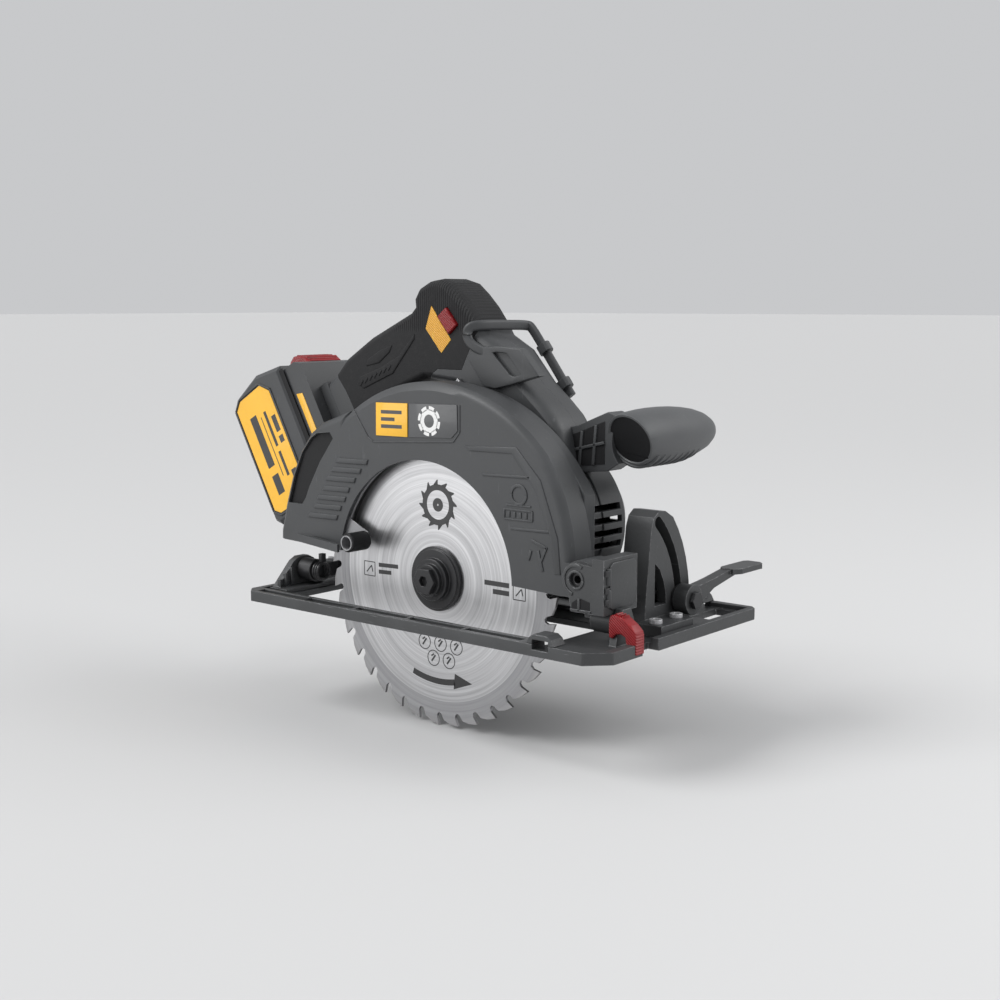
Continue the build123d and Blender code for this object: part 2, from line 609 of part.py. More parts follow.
def make_lift_lever():
    """Lever plate on the lower guard's face, with a hollow finger sleeve."""
    x, z = lift_point()
    plate = slab_y(
        [around(0, SPINDLE_Z, SWING_EDGE_R + 12, LIFT_ANGLE - 6), around(0, SPINDLE_Z, SWING_EDGE_R + 12, LIFT_ANGLE + 2.5),
         around(0, SPINDLE_Z, LIFT_R, LIFT_ANGLE + 5.5), around(0, SPINDLE_Z, LIFT_R - 5.5, LIFT_ANGLE),
         around(0, SPINDLE_Z, LIFT_R, LIFT_ANGLE - 5.5)],
        -SWING_FACE - 0.9, -SWING_FACE,
    )
    stem = ring_y(x, z, SLEEVE_BORE + 0.8, SLEEVE_BORE, -SLEEVE_END, -SWING_FACE - 0.9)
    return plate + stem - disc_y(x, z, SLEEVE_BORE, -SLEEVE_END - 1, -SWING_FACE - 0.9)


def make_lift_sleeve():
    x, z = lift_point()
    return ring_y(x, z, SLEEVE_R, SLEEVE_BORE + 0.8 + SEAT_FIT, -SLEEVE_END + 1, -SWING_FACE - 1.1)


# ---- blade and spindle ---------------------------------------------------------------
def make_blade():
    points = []
    pitch = 360 / TEETH
    root = BLADE_R - GULLET
    tooth = [
        (0.0, BLADE_R), (-1.0, BLADE_R - 5.0), (-0.6, root + 0.8), (0.5, root), (1.6, root + 0.8),
        (2.8, BLADE_R - 3.4), (6.0, BLADE_R - 1.3),
    ]
    for i in range(TEETH):
        points += [around(0, SPINDLE_Z, radius, i * pitch + step) for step, radius in tooth]
    half = BLADE_T / 2
    blade = slab_y(points, -half, half)
    return blade - disc_y(0, SPINDLE_Z, SPINDLE_R + RUN_FIT, -5, 5)


def make_outer_flange():
    half = BLADE_T / 2
    top = -half - FLANGE_T
    flange = disc_y(0, SPINDLE_Z, FLANGE_R, top + 1.2, -half)
    flange += disc_y(0, SPINDLE_Z, FLANGE_R - 1.5, top, top + 1.2)
    flange += disc_y(0, SPINDLE_Z, 13, top - 3.4, top)
    flange += disc_y(0, SPINDLE_Z, 10, top - 6.5, top - 3.4)
    return flange - disc_y(0, SPINDLE_Z, BOLT_R + SEAT_FIT, -30, 0) - disc_y(0, SPINDLE_Z, SPINDLE_R + SEAT_FIT, -3.2, 0)


def make_inner_flange():
    half = BLADE_T / 2
    return ring_y(0, SPINDLE_Z, FLANGE_R, SPINDLE_R + RUN_FIT, half, half + FLANGE_T)


def make_blade_bolt():
    top = -BLADE_T / 2 - FLANGE_T - 6.5
    shank = disc_y(0, SPINDLE_Z, BOLT_R, top, 14)
    foot = Plane(origin=(0, top, SPINDLE_Z), x_dir=(1, 0, 0), z_dir=(0, -1, 0))
    head = foot * extrude(RegularPolygon(8.6, 6), amount=BOLT_HEAD + top)
    socket_foot = Plane(origin=(0, -BOLT_HEAD, SPINDLE_Z), x_dir=(1, 0, 0), z_dir=(0, 1, 0))
    socket = socket_foot * extrude(RegularPolygon(3.4, 6), amount=6)
    return shank + head - socket


def make_spindle_shaft():
    shaft = disc_y(0, SPINDLE_Z, SPINDLE_R, -3, GEAR_Y + GEAR_W + 0.6)
    return shaft - disc_y(0, SPINDLE_Z, BOLT_R + SEAT_FIT, -4, 15)


# ---- gears and motor -----------------------------------------------------------------
def layshaft_centre():
    """Centre of the layshaft, from the centre distances of both gear pairs."""
    slow = MODULE * (SPINDLE_TEETH + LAY_SMALL_TEETH) / 2
    fast = MODULE * (LAY_BIG_TEETH + PINION_TEETH) / 2
    dx, dz = MOTOR_X, MOTOR_Z - SPINDLE_Z
    span = math.hypot(dx, dz)
    along = (slow ** 2 - fast ** 2 + span ** 2) / (2 * span)
    aside = math.sqrt(max(slow ** 2 - along ** 2, 0.0))
    ux, uz = dx / span, dz / span
    return (along * ux - aside * uz, SPINDLE_Z + along * uz + aside * ux)


LAY_X, LAY_Z = layshaft_centre()
LAY_R = 4.0
ROTOR_SHAFT_R = 4.0


def case_form(y0, y1, shrink):
    """Outer form of the gear case: three round chambers in one outline."""
    form = disc_y(0, SPINDLE_Z, MODULE * SPINDLE_TEETH / 2 + 4 - shrink, y0, y1)
    form += disc_y(LAY_X, LAY_Z, MODULE * LAY_BIG_TEETH / 2 + 4 - shrink, y0, y1)
    form += disc_y(MOTOR_X, MOTOR_Z, MOTOR_R - 1 - shrink, y0, y1)
    return form


def make_gear_case():
    y_front = GUARD_FACE + GUARD_INNER_W + 0.1
    body = case_form(BELL_Y0, TUBE_Y0 - 0.2, 0)
    body += disc_y(0, SPINDLE_Z, SNOUT_R + 1, y_front, BELL_Y0)
    body += disc_y(LAY_X, LAY_Z, MODULE * LAY_BIG_TEETH / 2, y_front, BELL_Y0)
    body += disc_y(0, SPINDLE_Z, SNOUT_R, SWING_FACE - SWING_WALL, y_front)
    floor = BELL_Y0 + 1.0
    roof = FAST_Y + FAST_W + 1
    body -= disc_y(0, SPINDLE_Z, MODULE * SPINDLE_TEETH / 2 + 1.2, floor, roof)
    body -= disc_y(LAY_X, LAY_Z, MODULE * LAY_BIG_TEETH / 2 + 1.2, floor, roof)
    body -= disc_y(MOTOR_X, MOTOR_Z, MODULE * PINION_TEETH / 2 + 2, floor, roof)
    body -= disc_y(0, SPINDLE_Z, SPINDLE_R + 0.6, 0, BELL_Y0 + 2)
    body -= disc_y(0, SPINDLE_Z, 13 + SEAT_FIT, 6.2, 19.5)
    body -= disc_y(MOTOR_X, MOTOR_Z, 9 + SEAT_FIT, roof - 1, TUBE_Y0 + 1)
    body -= disc_y(LAY_X, LAY_Z, LAY_R + RUN_FIT, floor - 3, TUBE_Y0 - 1.5)
    lock_x, lock_z = spindle_lock_point()
    body += disc_y(lock_x, lock_z, 6, BELL_Y0, BELL_Y0 + 9)
    body += block(lock_x, 0, BELL_Y0, BELL_Y0 + 9, lock_z - 1, lock_z + 6) - disc_y(0, SPINDLE_Z, 17, 0, 60)
    body -= disc_y(lock_x, lock_z, 3 + RUN_FIT, BELL_Y0 - 1, BELL_Y0 + 10)
    for i in range(4):
        slot_z = MOTOR_Z - 12 + i * 7.5
        body -= block(MOTOR_X + 30, MOTOR_X + 60, BELL_Y0 + 5, TUBE_Y0 + 1, slot_z, slot_z + 3.8)
    return body


def make_motor_housing():
    body = ring_y(MOTOR_X, MOTOR_Z, MOTOR_R, MOTOR_R - MOTOR_WALL, TUBE_Y0, CAP_Y0)
    for i in range(4):
        slot_z = MOTOR_Z - 12 + i * 7.5
        body -= block(MOTOR_X + 30, MOTOR_X + 60, TUBE_Y0 - 1, CAP_Y0 - 3, slot_z, slot_z + 3.8)
    return body


def make_motor_cap():
    centre = Plane(origin=(MOTOR_X, CAP_Y0, MOTOR_Z), x_dir=(1, 0, 0), z_dir=(0, 1, 0))
    depth = CAP_Y1 - CAP_Y0
    outer = centre * Cone(MOTOR_R, CAP_R, depth, align=(Align.CENTER, Align.CENTER, Align.MIN))
    seated = (Align.CENTER, Align.CENTER, Align.MIN)
    inner = centre * Cone(MOTOR_R - MOTOR_WALL, CAP_R - MOTOR_WALL, depth - 3, align=seated)
    body = outer - inner
    body += ring_y(MOTOR_X, MOTOR_Z, 11, 8 + SEAT_FIT, CAP_Y1 - 7, CAP_Y1 - 3)
    for i in range(10):
        x, z = around(MOTOR_X, MOTOR_Z, 20, 36 * i)
        slot = Pos(x, CAP_Y1 - 5, z) * Rot(0, -36 * i, 0) * Box(12, 12, 3)
        body -= slot
    return body


def make_stator():
    y0, y1 = 48.0, 73.0
    core = ring_y(MOTOR_X, MOTOR_Z, 32, 29, y0, y1)
    for i in range(12):
        arm = Pos(MOTOR_X, 0, MOTOR_Z) * Rot(0, 30 * i, 0) * block(16.5, 30, y0, y1, -2, 2)
        core += arm
    return core


def make_windings():
    coils = None
    for i in range(12):
        coil = block(20, 27, 46, 75, -4.2, 4.2) - block(19, 28, 48 - 0.1, 73 + 0.1, -2 - 0.1, 2 + 0.1)
        coil = Pos(MOTOR_X, 0, MOTOR_Z) * Rot(0, 30 * i, 0) * coil
        coils = coil if coils is None else coils + coil
    return coils


def make_rotor():
    core = disc_y(MOTOR_X, MOTOR_Z, 15.6, 49, 72)
    shaft = disc_y(MOTOR_X, MOTOR_Z, ROTOR_SHAFT_R, FAST_Y - 1, CAP_Y1 - 3.5)
    return core + shaft


def make_fan():
    y0, y1 = 77.0, 84.0
    body = disc_y(MOTOR_X, MOTOR_Z, 9, y0, y1) + disc_y(MOTOR_X, MOTOR_Z, 27, y0, y0 + 1.5)
    for i in range(8):
        body += Pos(MOTOR_X, 0, MOTOR_Z) * Rot(0, 45 * i + 5, 0) * block(6, 25, y0 + 1, y1 - 0.5, -0.8, 0.8)
    return body - disc_y(MOTOR_X, MOTOR_Z, ROTOR_SHAFT_R + SEAT_FIT, y0 - 1, y1 + 1)


def make_pinion():
    return gear(MOTOR_X, MOTOR_Z, PINION_TEETH, ROTOR_SHAFT_R + SEAT_FIT, FAST_Y, FAST_Y + FAST_W)


def make_layshaft():
    shaft = disc_y(LAY_X, LAY_Z, LAY_R, BELL_Y0 - 1.5, TUBE_Y0 - 2)
    small = gear(LAY_X, LAY_Z, LAY_SMALL_TEETH, LAY_R - 0.5, GEAR_Y, GEAR_Y + GEAR_W)
    big = gear(LAY_X, LAY_Z, LAY_BIG_TEETH, LAY_R - 0.5, FAST_Y, FAST_Y + FAST_W)
    return shaft + small + big


def make_spindle_gear():
    return gear(0, SPINDLE_Z, SPINDLE_TEETH, SPINDLE_R + SEAT_FIT, GEAR_Y, GEAR_Y + GEAR_W)


def make_bearings():
    nose = bearing(0, SPINDLE_Z, 13, SPINDLE_R + RUN_FIT, 6.4, 12.4)
    nose += bearing(0, SPINDLE_Z, 13, SPINDLE_R + RUN_FIT, 13.2, 19.2)
    motor_front = bearing(MOTOR_X, MOTOR_Z, 9, ROTOR_SHAFT_R + RUN_FIT, FAST_Y + FAST_W + 1.2, TUBE_Y0 - 0.4)
    motor_rear = bearing(MOTOR_X, MOTOR_Z, 8, ROTOR_SHAFT_R + RUN_FIT, CAP_Y1 - 7, CAP_Y1 - 3.2)
    return nose + motor_front + motor_rear


# ---- handle --------------------------------------------------------------------------
HANDLE_OUTER = [
    (-127, 134), (-123, 138), (-115, 144.5), (-105, 155), (-82.6, 168.8), (-56.7, 180.7), (-47.5, 185),
    (-43.5, 189), (-44, 193.6), (-39.8, 200.4), (-31, 204.7), (-22.4, 205.8), (-14, 203.5), (-6, 197),
    (2, 189), (9, 180), (14, 172), (30, 163), (47, 143.5), (60, 132.5), (68, 125), (74, 117),
    (79, 95), (60, 70), (0, 60), (-62, 66), (-90, 72), (-97, 79),
]
HAND_OPENING = [
    (-84, 122), (-58, 134), (-34, 143.5), (-8, 141), (8, 134), (6, 118), (-6, 104), (-20, 96), (-62, 90), (-74, 96),
    (-88, 116),
]
GRIP_ZONE = [
    (-118, 150), (-100, 175), (-60, 196), (-50, 215), (-10, 215), (9, 192), (14.4, 182), (-2, 150), (-22, 150),
    (-40, 138), (-90, 112), (-104, 134),
]


def handle_slab(outline, opening, y0, y1):
    return slab_y(outline, y0, y1) - slab_y(opening, y0 - 1, y1 + 1)


def handle_form(shrink):
    """Handle's outer form, rounded towards both sides, moved inwards by shrink."""
    near = GRIP_Y - GRIP_HALF + shrink
    far = GRIP_Y + GRIP_HALF - shrink
    depth = GRIP_ROUND[-1][0]
    body = handle_slab(inset_if(HANDLE_OUTER, shrink), grow(HAND_OPENING, shrink), near + depth, far - depth)
    for (depth0, inset0), (depth1, inset1) in zip(GRIP_ROUND, GRIP_ROUND[1:]):
        for side, way in ((near, 1), (far, -1)):
            y0, y1 = side + way * depth0, side + way * depth1
            ring = ruled_y(inset(HANDLE_OUTER, shrink + inset0), y0, inset_if(HANDLE_OUTER, shrink + inset1), y1)
            ring -= ruled_y(grow(HAND_OPENING, shrink + inset0), y0, grow(HAND_OPENING, shrink + inset1), y1)
            body += ring
    return body


def handle_hollow():
    """Room inside the handle, with flat sides."""
    depth = GRIP_ROUND[-1][0]
    room = handle_slab(inset(HANDLE_OUTER, SKIN + SHELL), grow(HAND_OPENING, SKIN + SHELL),
                       GRIP_Y - GRIP_HALF + depth, GRIP_Y + GRIP_HALF - depth)
    return room & block(-100, 60, 0, 100, 108, 220)


def grow(points, amount):
    """Outline of (x, z) points, moved outwards."""
    return inset(points, -amount) if amount > 0 else points


def motor_room():
    """Space that the gear case and the motor take from the handle."""
    room = case_form(GRIP_Y - 30, TUBE_Y0 - 0.2, -0.2)
    room += disc_y(MOTOR_X, MOTOR_Z, MOTOR_R + 0.2, TUBE_Y0 - 0.3, 100)
    return room


def make_handle():
    """Both clamshell halves and the rubber skin, cut from one form."""
    full = handle_form(0)
    zone = slab_y(GRIP_ZONE, 0, 100)
    skin = (full - handle_form(SKIN)) & zone
    body = full - skin - motor_room()
    body -= handle_hollow()
    body -= pack_box(-280, -60, -200, DOCK_FRONT + SEAT_FIT, 0, 120)
    skin -= pack_box(-280, -60, -200, DOCK_FRONT + SEAT_FIT, 0, 120)
    body -= pack_box(-170, -120, -32, -26, GRIP_Y - 11, GRIP_Y + 11)
    body -= block(-86, -8, 0, 33.6, 40, 87)
    body -= handle_screw_form(SEAT_FIT)
    body -= trigger_slot()
    body -= button_bore(0.25)
    skin -= button_bore(0.25)
    skin -= trigger_slot()
    skin -= accent_form(0.1)
    body -= accent_form(0.1)
    near = body & block(-140, 100, 0, GRIP_Y, 40, 220)
    far = body & block(-140, 100, GRIP_Y, 100, 40, 220)
    return near, far, skin


BUTTON_X = -12.6
BUTTON_Z = 180.0
BUTTON_LEAN = -50.0


def button_bore(gap):
    """Bar of the lock-off button, made larger by gap."""
    bar = Box(14 + 2 * gap, 2 * GRIP_HALF + 4, 9 + 2 * gap)
    return Pos(BUTTON_X, GRIP_Y, BUTTON_Z) * Rot(0, -BUTTON_LEAN, 0) * bar


def accent_form(gap):
    """Yellow side panels, set into both sides of the grip."""
    outline = [(-26.7, 189), (-31.7, 175), (-18.6, 160), (-10.6, 168.4)]
    outline = inset(outline, -gap)
    depth = 1.2 + gap
    near = GRIP_Y - GRIP_HALF
    far = GRIP_Y + GRIP_HALF
    form = slab_y(outline, near - 0.2, near + depth) + slab_y(outline, far - depth, far + 0.2)
    return form - button_bore(1.2)


def trigger_slot():
    """Opening that the trigger swings in."""
    half = TRIGGER_HALF + MOVE_GAP / 2
    outline = [(-33, 136), (-34.5, 151), (-25, 163), (-9, 163), (-3, 158), (-2, 136)]
    return slab_y(outline, GRIP_Y - half, GRIP_Y + half)


def make_trigger():
    """Trigger with a short round stub on each side, which it turns on."""
    outline = [(-29.5, 146.7), (-17, 158), (-8.5, 155), (-6.5, 142.4), (-14, 140.2), (-25.6, 142.2)]
    body = slab_y(outline, GRIP_Y - TRIGGER_HALF, GRIP_Y + TRIGGER_HALF)
    stub_half = TRIGGER_HALF + MOVE_GAP / 4
    return body + disc_y(*TRIGGER_PIVOT, 2.2, GRIP_Y - stub_half, GRIP_Y + stub_half)


def make_switch():
    return block(-42, -24, GRIP_Y - 7, GRIP_Y + 7, 159, 171)


def make_controller():
    board = pack_box(-168, -122, -30.5, -27, GRIP_Y - 10, GRIP_Y + 10)
    return board


def make_front_handle():
    outline = [(70, 118), (78, 119.5), (100, 128.5), (112, 125), (116, 104), (100, 94), (80, 92), (72, 96)]
    arm = slab_y(outline, 36, 50)
    arm -= disc_y(KNOB_X, KNOB_Z, KNOB_R + SEAT_FIT, 30, 60)
    arm -= motor_room()
    arm -= slab_y(HANDLE_OUTER, GRIP_Y - GRIP_HALF - 1, GRIP_Y + GRIP_HALF + 1)
    return arm


def make_front_knob():
    core = disc_y(KNOB_X, KNOB_Z, KNOB_R, KNOB_Y0 + 6, KNOB_Y1 - 12)
    centre = Plane(origin=(KNOB_X, KNOB_Y1 - 12, KNOB_Z), x_dir=(1, 0, 0), z_dir=(0, 1, 0))
    far = centre * Cone(KNOB_R, KNOB_R - 8, 12, align=(Align.CENTER, Align.CENTER, Align.MIN))
    start = Plane(origin=(KNOB_X, KNOB_Y0, KNOB_Z), x_dir=(1, 0, 0), z_dir=(0, 1, 0))
    near = start * Cone(KNOB_R - 3.5, KNOB_R, 6, align=(Align.CENTER, Align.CENTER, Align.MIN))
    return near + core + far


# ---- rafter hook ---------------------------------------------------------------------
HOOK_TOP = (23.0, 175.0)    # ends (x, z) of the hook's hinge rod, on the neck's motor side
HOOK_LOW = (52.0, 136.0)
ROD_R = 2.5
ROD_GAP = 1.0               # gap between the hook's rod and the neck
HOOK_BAR_W = 6.0


def hook_rod(radius, start, length):
    """Cylinder along the hook's hinge line; start and length are measured from its top end."""
    y = GRIP_Y + GRIP_HALF + ROD_GAP + ROD_R
    dx, dz = HOOK_LOW[0] - HOOK_TOP[0], HOOK_LOW[1] - HOOK_TOP[1]
    span = math.hypot(dx, dz)
    ux, uz = dx / span, dz / span
    foot = Plane(origin=(HOOK_TOP[0] + ux * start, y, HOOK_TOP[1] + uz * start), x_dir=(0, 1, 0), z_dir=(ux, 0, uz))
    return foot * Cylinder(radius, length, align=(Align.CENTER, Align.CENTER, Align.MIN))


def make_rafter_hook():
    """Swing-out hook: a hinge rod beside the neck, a flat bar across it and a turned-down end."""
    near = GRIP_Y - GRIP_HALF - 4.6
    far = GRIP_Y + GRIP_HALF + ROD_GAP + ROD_R
    x0, z0 = HOOK_TOP[0] - HOOK_BAR_W, HOOK_TOP[1] - HOOK_BAR_W / 2
    bar = block(x0, x0 + HOOK_BAR_W, near, far, z0, z0 + HOOK_BAR_W)
    turned = slab_y([(x0, z0 + HOOK_BAR_W), (x0 + HOOK_BAR_W, z0 + HOOK_BAR_W), (x0 + HOOK_BAR_W, z0 + 1), (12, 163),
                     (5, 160), (3, 164), (9, 171)], near, near + 4)
    return bar + turned + hook_rod(ROD_R, -2.5, 50)


def make_hook_clips():
    """Two clips that hold the hook's rod on the neck."""
    clips = None
    span = math.hypot(HOOK_LOW[0] - HOOK_TOP[0], HOOK_LOW[1] - HOOK_TOP[1])
    for start in (12.0, span - 10):
        clip = hook_rod(ROD_R + 2, start, 6) - hook_rod(ROD_R + RUN_FIT, start - 1, 8)
        clip -= block(-100, 100, 0, GRIP_Y + GRIP_HALF + SEAT_FIT / 2, 60, 220)
        clips = clip if clips is None else clips + clip
    return clips


# ---- battery dock and pack -----------------------------------------------------------
def make_dock():
    """Battery dock at the rear of the handle, with two rails for the pack."""
    mid = PACK_Y0 + PACK_W / 2
    plate = pack_box(-181, PACK_BOTTOM, PACK_HEAD + 0.5, DOCK_FRONT, mid - 24, mid + 24)
    rails = None
    for y0 in (mid - 24, mid + 20):
        rail = pack_box(-178, PACK_BOTTOM + 2, PACK_HEAD - 4, PACK_HEAD + 0.6, y0, y0 + 4)
        rails = rail if rails is None else rails + rail
    return plate + rails


def make_dock_contacts():
    mid = PACK_Y0 + PACK_W / 2
    blades = None
    for i in range(4):
        y = mid - 12 + 8 * i
        blade = pack_box(-130, -116, PACK_HEAD - 3.5, PACK_HEAD + 0.5, y - 0.5, y + 0.5)
        blades = blade if blades is None else blades + blade
    return blades


def make_pack_case():
    """Cell box of the pack, open towards its cover."""
    corners = [(PACK_TOP + 8, PACK_BACK), (PACK_TOP, PACK_BACK + 7), (PACK_TOP - 5.5, PACK_BACK + 33),
               (PACK_TOP, PACK_SPLIT), (PACK_BOTTOM, PACK_SPLIT), (PACK_BOTTOM, PACK_BACK + 5),
               (PACK_BOTTOM - 5, PACK_BACK)]
    outline = [pack_point(down, across) for down, across in corners]
    y0, y1 = PACK_Y0 + PACK_EDGE, PACK_Y0 + PACK_W - PACK_EDGE
    outer = slab_y(outline, y0, y1)
    set_in = inset(outline, PACK_EDGE)
    outer += ruled_y(set_in, PACK_Y0, outline, y0) + ruled_y(outline, y1, set_in, PACK_Y0 + PACK_W)
    room = pack_box(PACK_TOP + PACK_WALL + 5, PACK_BOTTOM - PACK_WALL, PACK_BACK + PACK_WALL, PACK_SPLIT + 1,
                    PACK_Y0 + PACK_WALL, PACK_Y0 + PACK_W - PACK_WALL)
    return outer - room


def make_pack_cover():
    """Head of the pack: lid of the cell box, with grooves for the dock's rails."""
    mid = PACK_Y0 + PACK_W / 2
    lid = pack_slab([(-203, PACK_SPLIT), (-203, PACK_HEAD - 6), (-199, PACK_HEAD), (PACK_BOTTOM, PACK_HEAD),
                     (PACK_BOTTOM, PACK_SPLIT)], PACK_Y0 + 3, PACK_Y0 + PACK_W - 3)
    room = pack_box(-190, PACK_BOTTOM - 3, PACK_SPLIT - 1, PACK_HEAD - 7, PACK_Y0 + 6, PACK_Y0 + PACK_W - 6)
    lid -= room
    for y0 in (mid - 24, mid + 20):
        lid -= pack_box(-178.5, PACK_BOTTOM + 3, PACK_HEAD - 4.5, PACK_HEAD + 1, y0 - 0.5, y0 + 4.5)
    for i in range(4):
        y = mid - 12 + 8 * i
        lid -= pack_box(-130.5, PACK_BOTTOM + 2, PACK_HEAD - 4.2, PACK_HEAD + 1, y - 1.2, y + 1.2)
    lid -= latch_form(0.3)
    lid -= latch_form(0.3).moved(Location(pack_shift(4.2)))
    return lid


def pack_shift(distance):
    """Vector along the pack's slide, towards its seat."""
    x, z = pack_point(distance, 0)
    return (x, 0, z)


def latch_form(gap):
    """Release button in the pack's top end, made larger by gap."""
    mid = PACK_Y0 + PACK_W / 2
    y0, y1 = mid - 17 - gap, mid + 17 + gap
    outline = [(-190 + gap, PACK_SPLIT + 2 - gap), (-209, PACK_SPLIT + 2 - gap), (-210.5, PACK_SPLIT + 4),
               (-204, PACK_HEAD - 7 + gap), (-190 + gap, PACK_HEAD - 7 + gap)]
    return pack_slab(outline, y0, y1)


def make_latch():
    return latch_form(0)


def make_cells():
    cells = None
    y0 = PACK_Y0 + (PACK_W - CELL_L) / 2
    pitch = 2 * CELL_R + 0.1
    for row, count in enumerate((4, 3, 3)):
        across = PACK_BACK + PACK_WALL + CELL_R + 0.1 + row * pitch
        for column in range(count):
            down = PACK_BOTTOM - PACK_WALL - CELL_R - 1 - column * (pitch + 1)
            x, z = pack_point(down, across)
            cell = disc_y(x, z, CELL_R, y0, y0 + CELL_L)
            cells = cell if cells is None else cells + cell
    return cells


def make_labels():
    outline = [(-203.6, -86.9), (-196.2, -80), (-128, -80), (-119, -90), (-119, -112), (-123, -117), (-198.3, -117),
               (-203, -110.6)]
    near = pack_slab(outline, PACK_Y0 - 0.4, PACK_Y0)
    far = pack_slab(outline, PACK_Y0 + PACK_W, PACK_Y0 + PACK_W + 0.4)
    return near + far


# ---- depth lever, pins, screws, springs ----------------------------------------------
def depth_bolt_point():
    return depth_point(DEPTH_ARC_R, DEPTH_BOLT_ANGLE)


def make_depth_lever():
    x, z = depth_bolt_point()
    y0 = GUARD_FACE + GUARD_INNER_W + 2 * MOVE_GAP + DEPTH_ARC_T
    hub = disc_y(x, z, 8, y0 + 1.5, y0 + 8)
    arm = slab_y([(x, z - 5), (x, z + 6), (x - 30, z + 13), (x - 42, z + 13), (x - 42, z + 8), (x - 28, z + 4)], y0 + 2.5, y0 + 7)
    return hub + arm - disc_y(x, z, PIN_R - 1 + SEAT_FIT, y0, y0 + 9)


def make_depth_bolt():
    x, z = depth_bolt_point()
    y0 = GUARD_FACE + GUARD_INNER_W
    y1 = y0 + 2 * MOVE_GAP + DEPTH_ARC_T
    washer = disc_y(x, z, 7, y1, y1 + 1.3)
    nut = disc_y(x, z, 5, y1 + 8.2, y1 + 11)
    return disc_y(x, z, PIN_R - 1, y0, y1 + 9) + washer + nut


def make_depth_pin():
    """Hollow pin of the depth pivot, set in between the faces of the bracket's ears."""
    return ring_y(DEPTH_X, DEPTH_Z, PIN_R, 2.2, -12.5, 12.5)


def spindle_lock_point():
    return around(0, SPINDLE_Z, MODULE * SPINDLE_TEETH / 2 + 4 + 7, 195)


def make_spindle_lock():
    """Push button on the gear case that pins the gear for a blade change."""
    x, z = spindle_lock_point()
    stem = disc_y(x, z, 3, GUARD_FACE + GUARD_INNER_W + 1, 36)
    return stem + disc_y(x, z, 6, 36, 42)


SCREW_SPOTS = [(30, 150), (62, 112), (-78, 80), (-30, 76), (-112, 132)]


def handle_screw_form(gap):
    """Screws that close the handle from the motor side, made larger by gap."""
    screws = None
    face = GRIP_Y + GRIP_HALF
    for x, z in SCREW_SPOTS:
        screw = disc_y(x, z, 3 + gap, face - 2.8 - gap, face - 0.4 + 8 * gap)
        screw += disc_y(x, z, 1.5 + gap, GRIP_Y - 8, face - 2.8)
        screws = screw if screws is None else screws + screw
    return screws


def make_housing_screws():
    face = GRIP_Y + GRIP_HALF
    screws = handle_screw_form(0)
    for x, z in SCREW_SPOTS:
        screws -= disc_y(x, z, 1.3, face - 1.8, face)
    return screws


parts["shoe_plate"] = make_shoe_plate()
parts["fence_guides"] = make_fence_guides()
parts["bevel_quadrant"] = make_bevel_quadrant()
parts["quadrant_screws"] = make_quadrant_screws()
parts["rear_hinge"] = make_rear_hinge()
parts["cut_line_pointer"] = make_pointer()
parts["front_bracket"] = make_front_bracket()
parts["tilt_pins"] = make_tilt_pins()
parts["depth_arc"] = make_depth_arc()
parts["rear_bracket"] = make_rear_bracket()
parts["guide_rivet"] = make_guide_rivets()
parts["bevel_lever"] = make_bevel_lever()
parts["bevel_bolt"] = make_bevel_bolt()
parts["upper_guard"] = make_upper_guard()
parts["guard_inner_half"] = make_guard_inner_half()
parts["chip_outlet"] = make_guard_insert()
parts["badge"] = make_badge()
parts["lower_guard"] = make_lower_guard()
parts["lift_lever"] = make_lift_lever()
parts["lift_sleeve"] = make_lift_sleeve()
parts["blade"] = make_blade()
parts["outer_flange"] = make_outer_flange()
parts["inner_flange"] = make_inner_flange()
parts["blade_bolt"] = make_blade_bolt()
parts["spindle_shaft"] = make_spindle_shaft()
parts["spindle_gear"] = make_spindle_gear()
parts["layshaft"] = make_layshaft()
parts["pinion"] = make_pinion()
parts["rotor"] = make_rotor()
parts["fan"] = make_fan()
parts["stator"] = make_stator()
parts["windings"] = make_windings()
parts["bearings"] = make_bearings()
parts["gear_case"] = make_gear_case()
parts["motor_housing"] = make_motor_housing()
parts["motor_cap"] = make_motor_cap()
near_half, far_half, rubber = make_handle()
parts["handle_near"] = near_half
parts["handle_far"] = far_half
parts["grip_overmould"] = rubber
parts["side_accents"] = accent_form(0)
parts["lock_off_button"] = button_bore(0)
parts["trigger"] = make_trigger()
parts["switch"] = make_switch()
parts["controller"] = make_controller()
parts["front_handle_arm"] = make_front_handle()
parts["front_knob"] = make_front_knob()
parts["rafter_hook"] = make_rafter_hook()
parts["hook_clips"] = make_hook_clips()
parts["battery_dock"] = make_dock()
parts["dock_contacts"] = make_dock_contacts()
parts["pack_case"] = make_pack_case()
parts["pack_cover"] = make_pack_cover()
parts["pack_latch"] = make_latch()
parts["cells"] = make_cells()
parts["pack_labels"] = make_labels()
parts["depth_lever"] = make_depth_lever()
parts["depth_bolt"] = make_depth_bolt()
parts["depth_pin"] = make_depth_pin()
parts["spindle_lock"] = make_spindle_lock()
parts["housing_screws"] = make_housing_screws()

os.makedirs("parts", exist_ok=True)
for name, shape in parts.items():
    export_step(shape, "parts/" + name + ".step")
    print(name, len(shape.solids()))
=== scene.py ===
# %% [markdown]
# A cordless circular saw, finished piece by piece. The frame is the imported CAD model: every
# solid is already in its place, in metres, with X forward, Y from the blade to the motor and
# Z up from the sole. Positions below are written in millimetres and turned into metres by MM.

# %% Load the frame
import json
import math

import bmesh
import bpy
from mathutils import Matrix, Vector


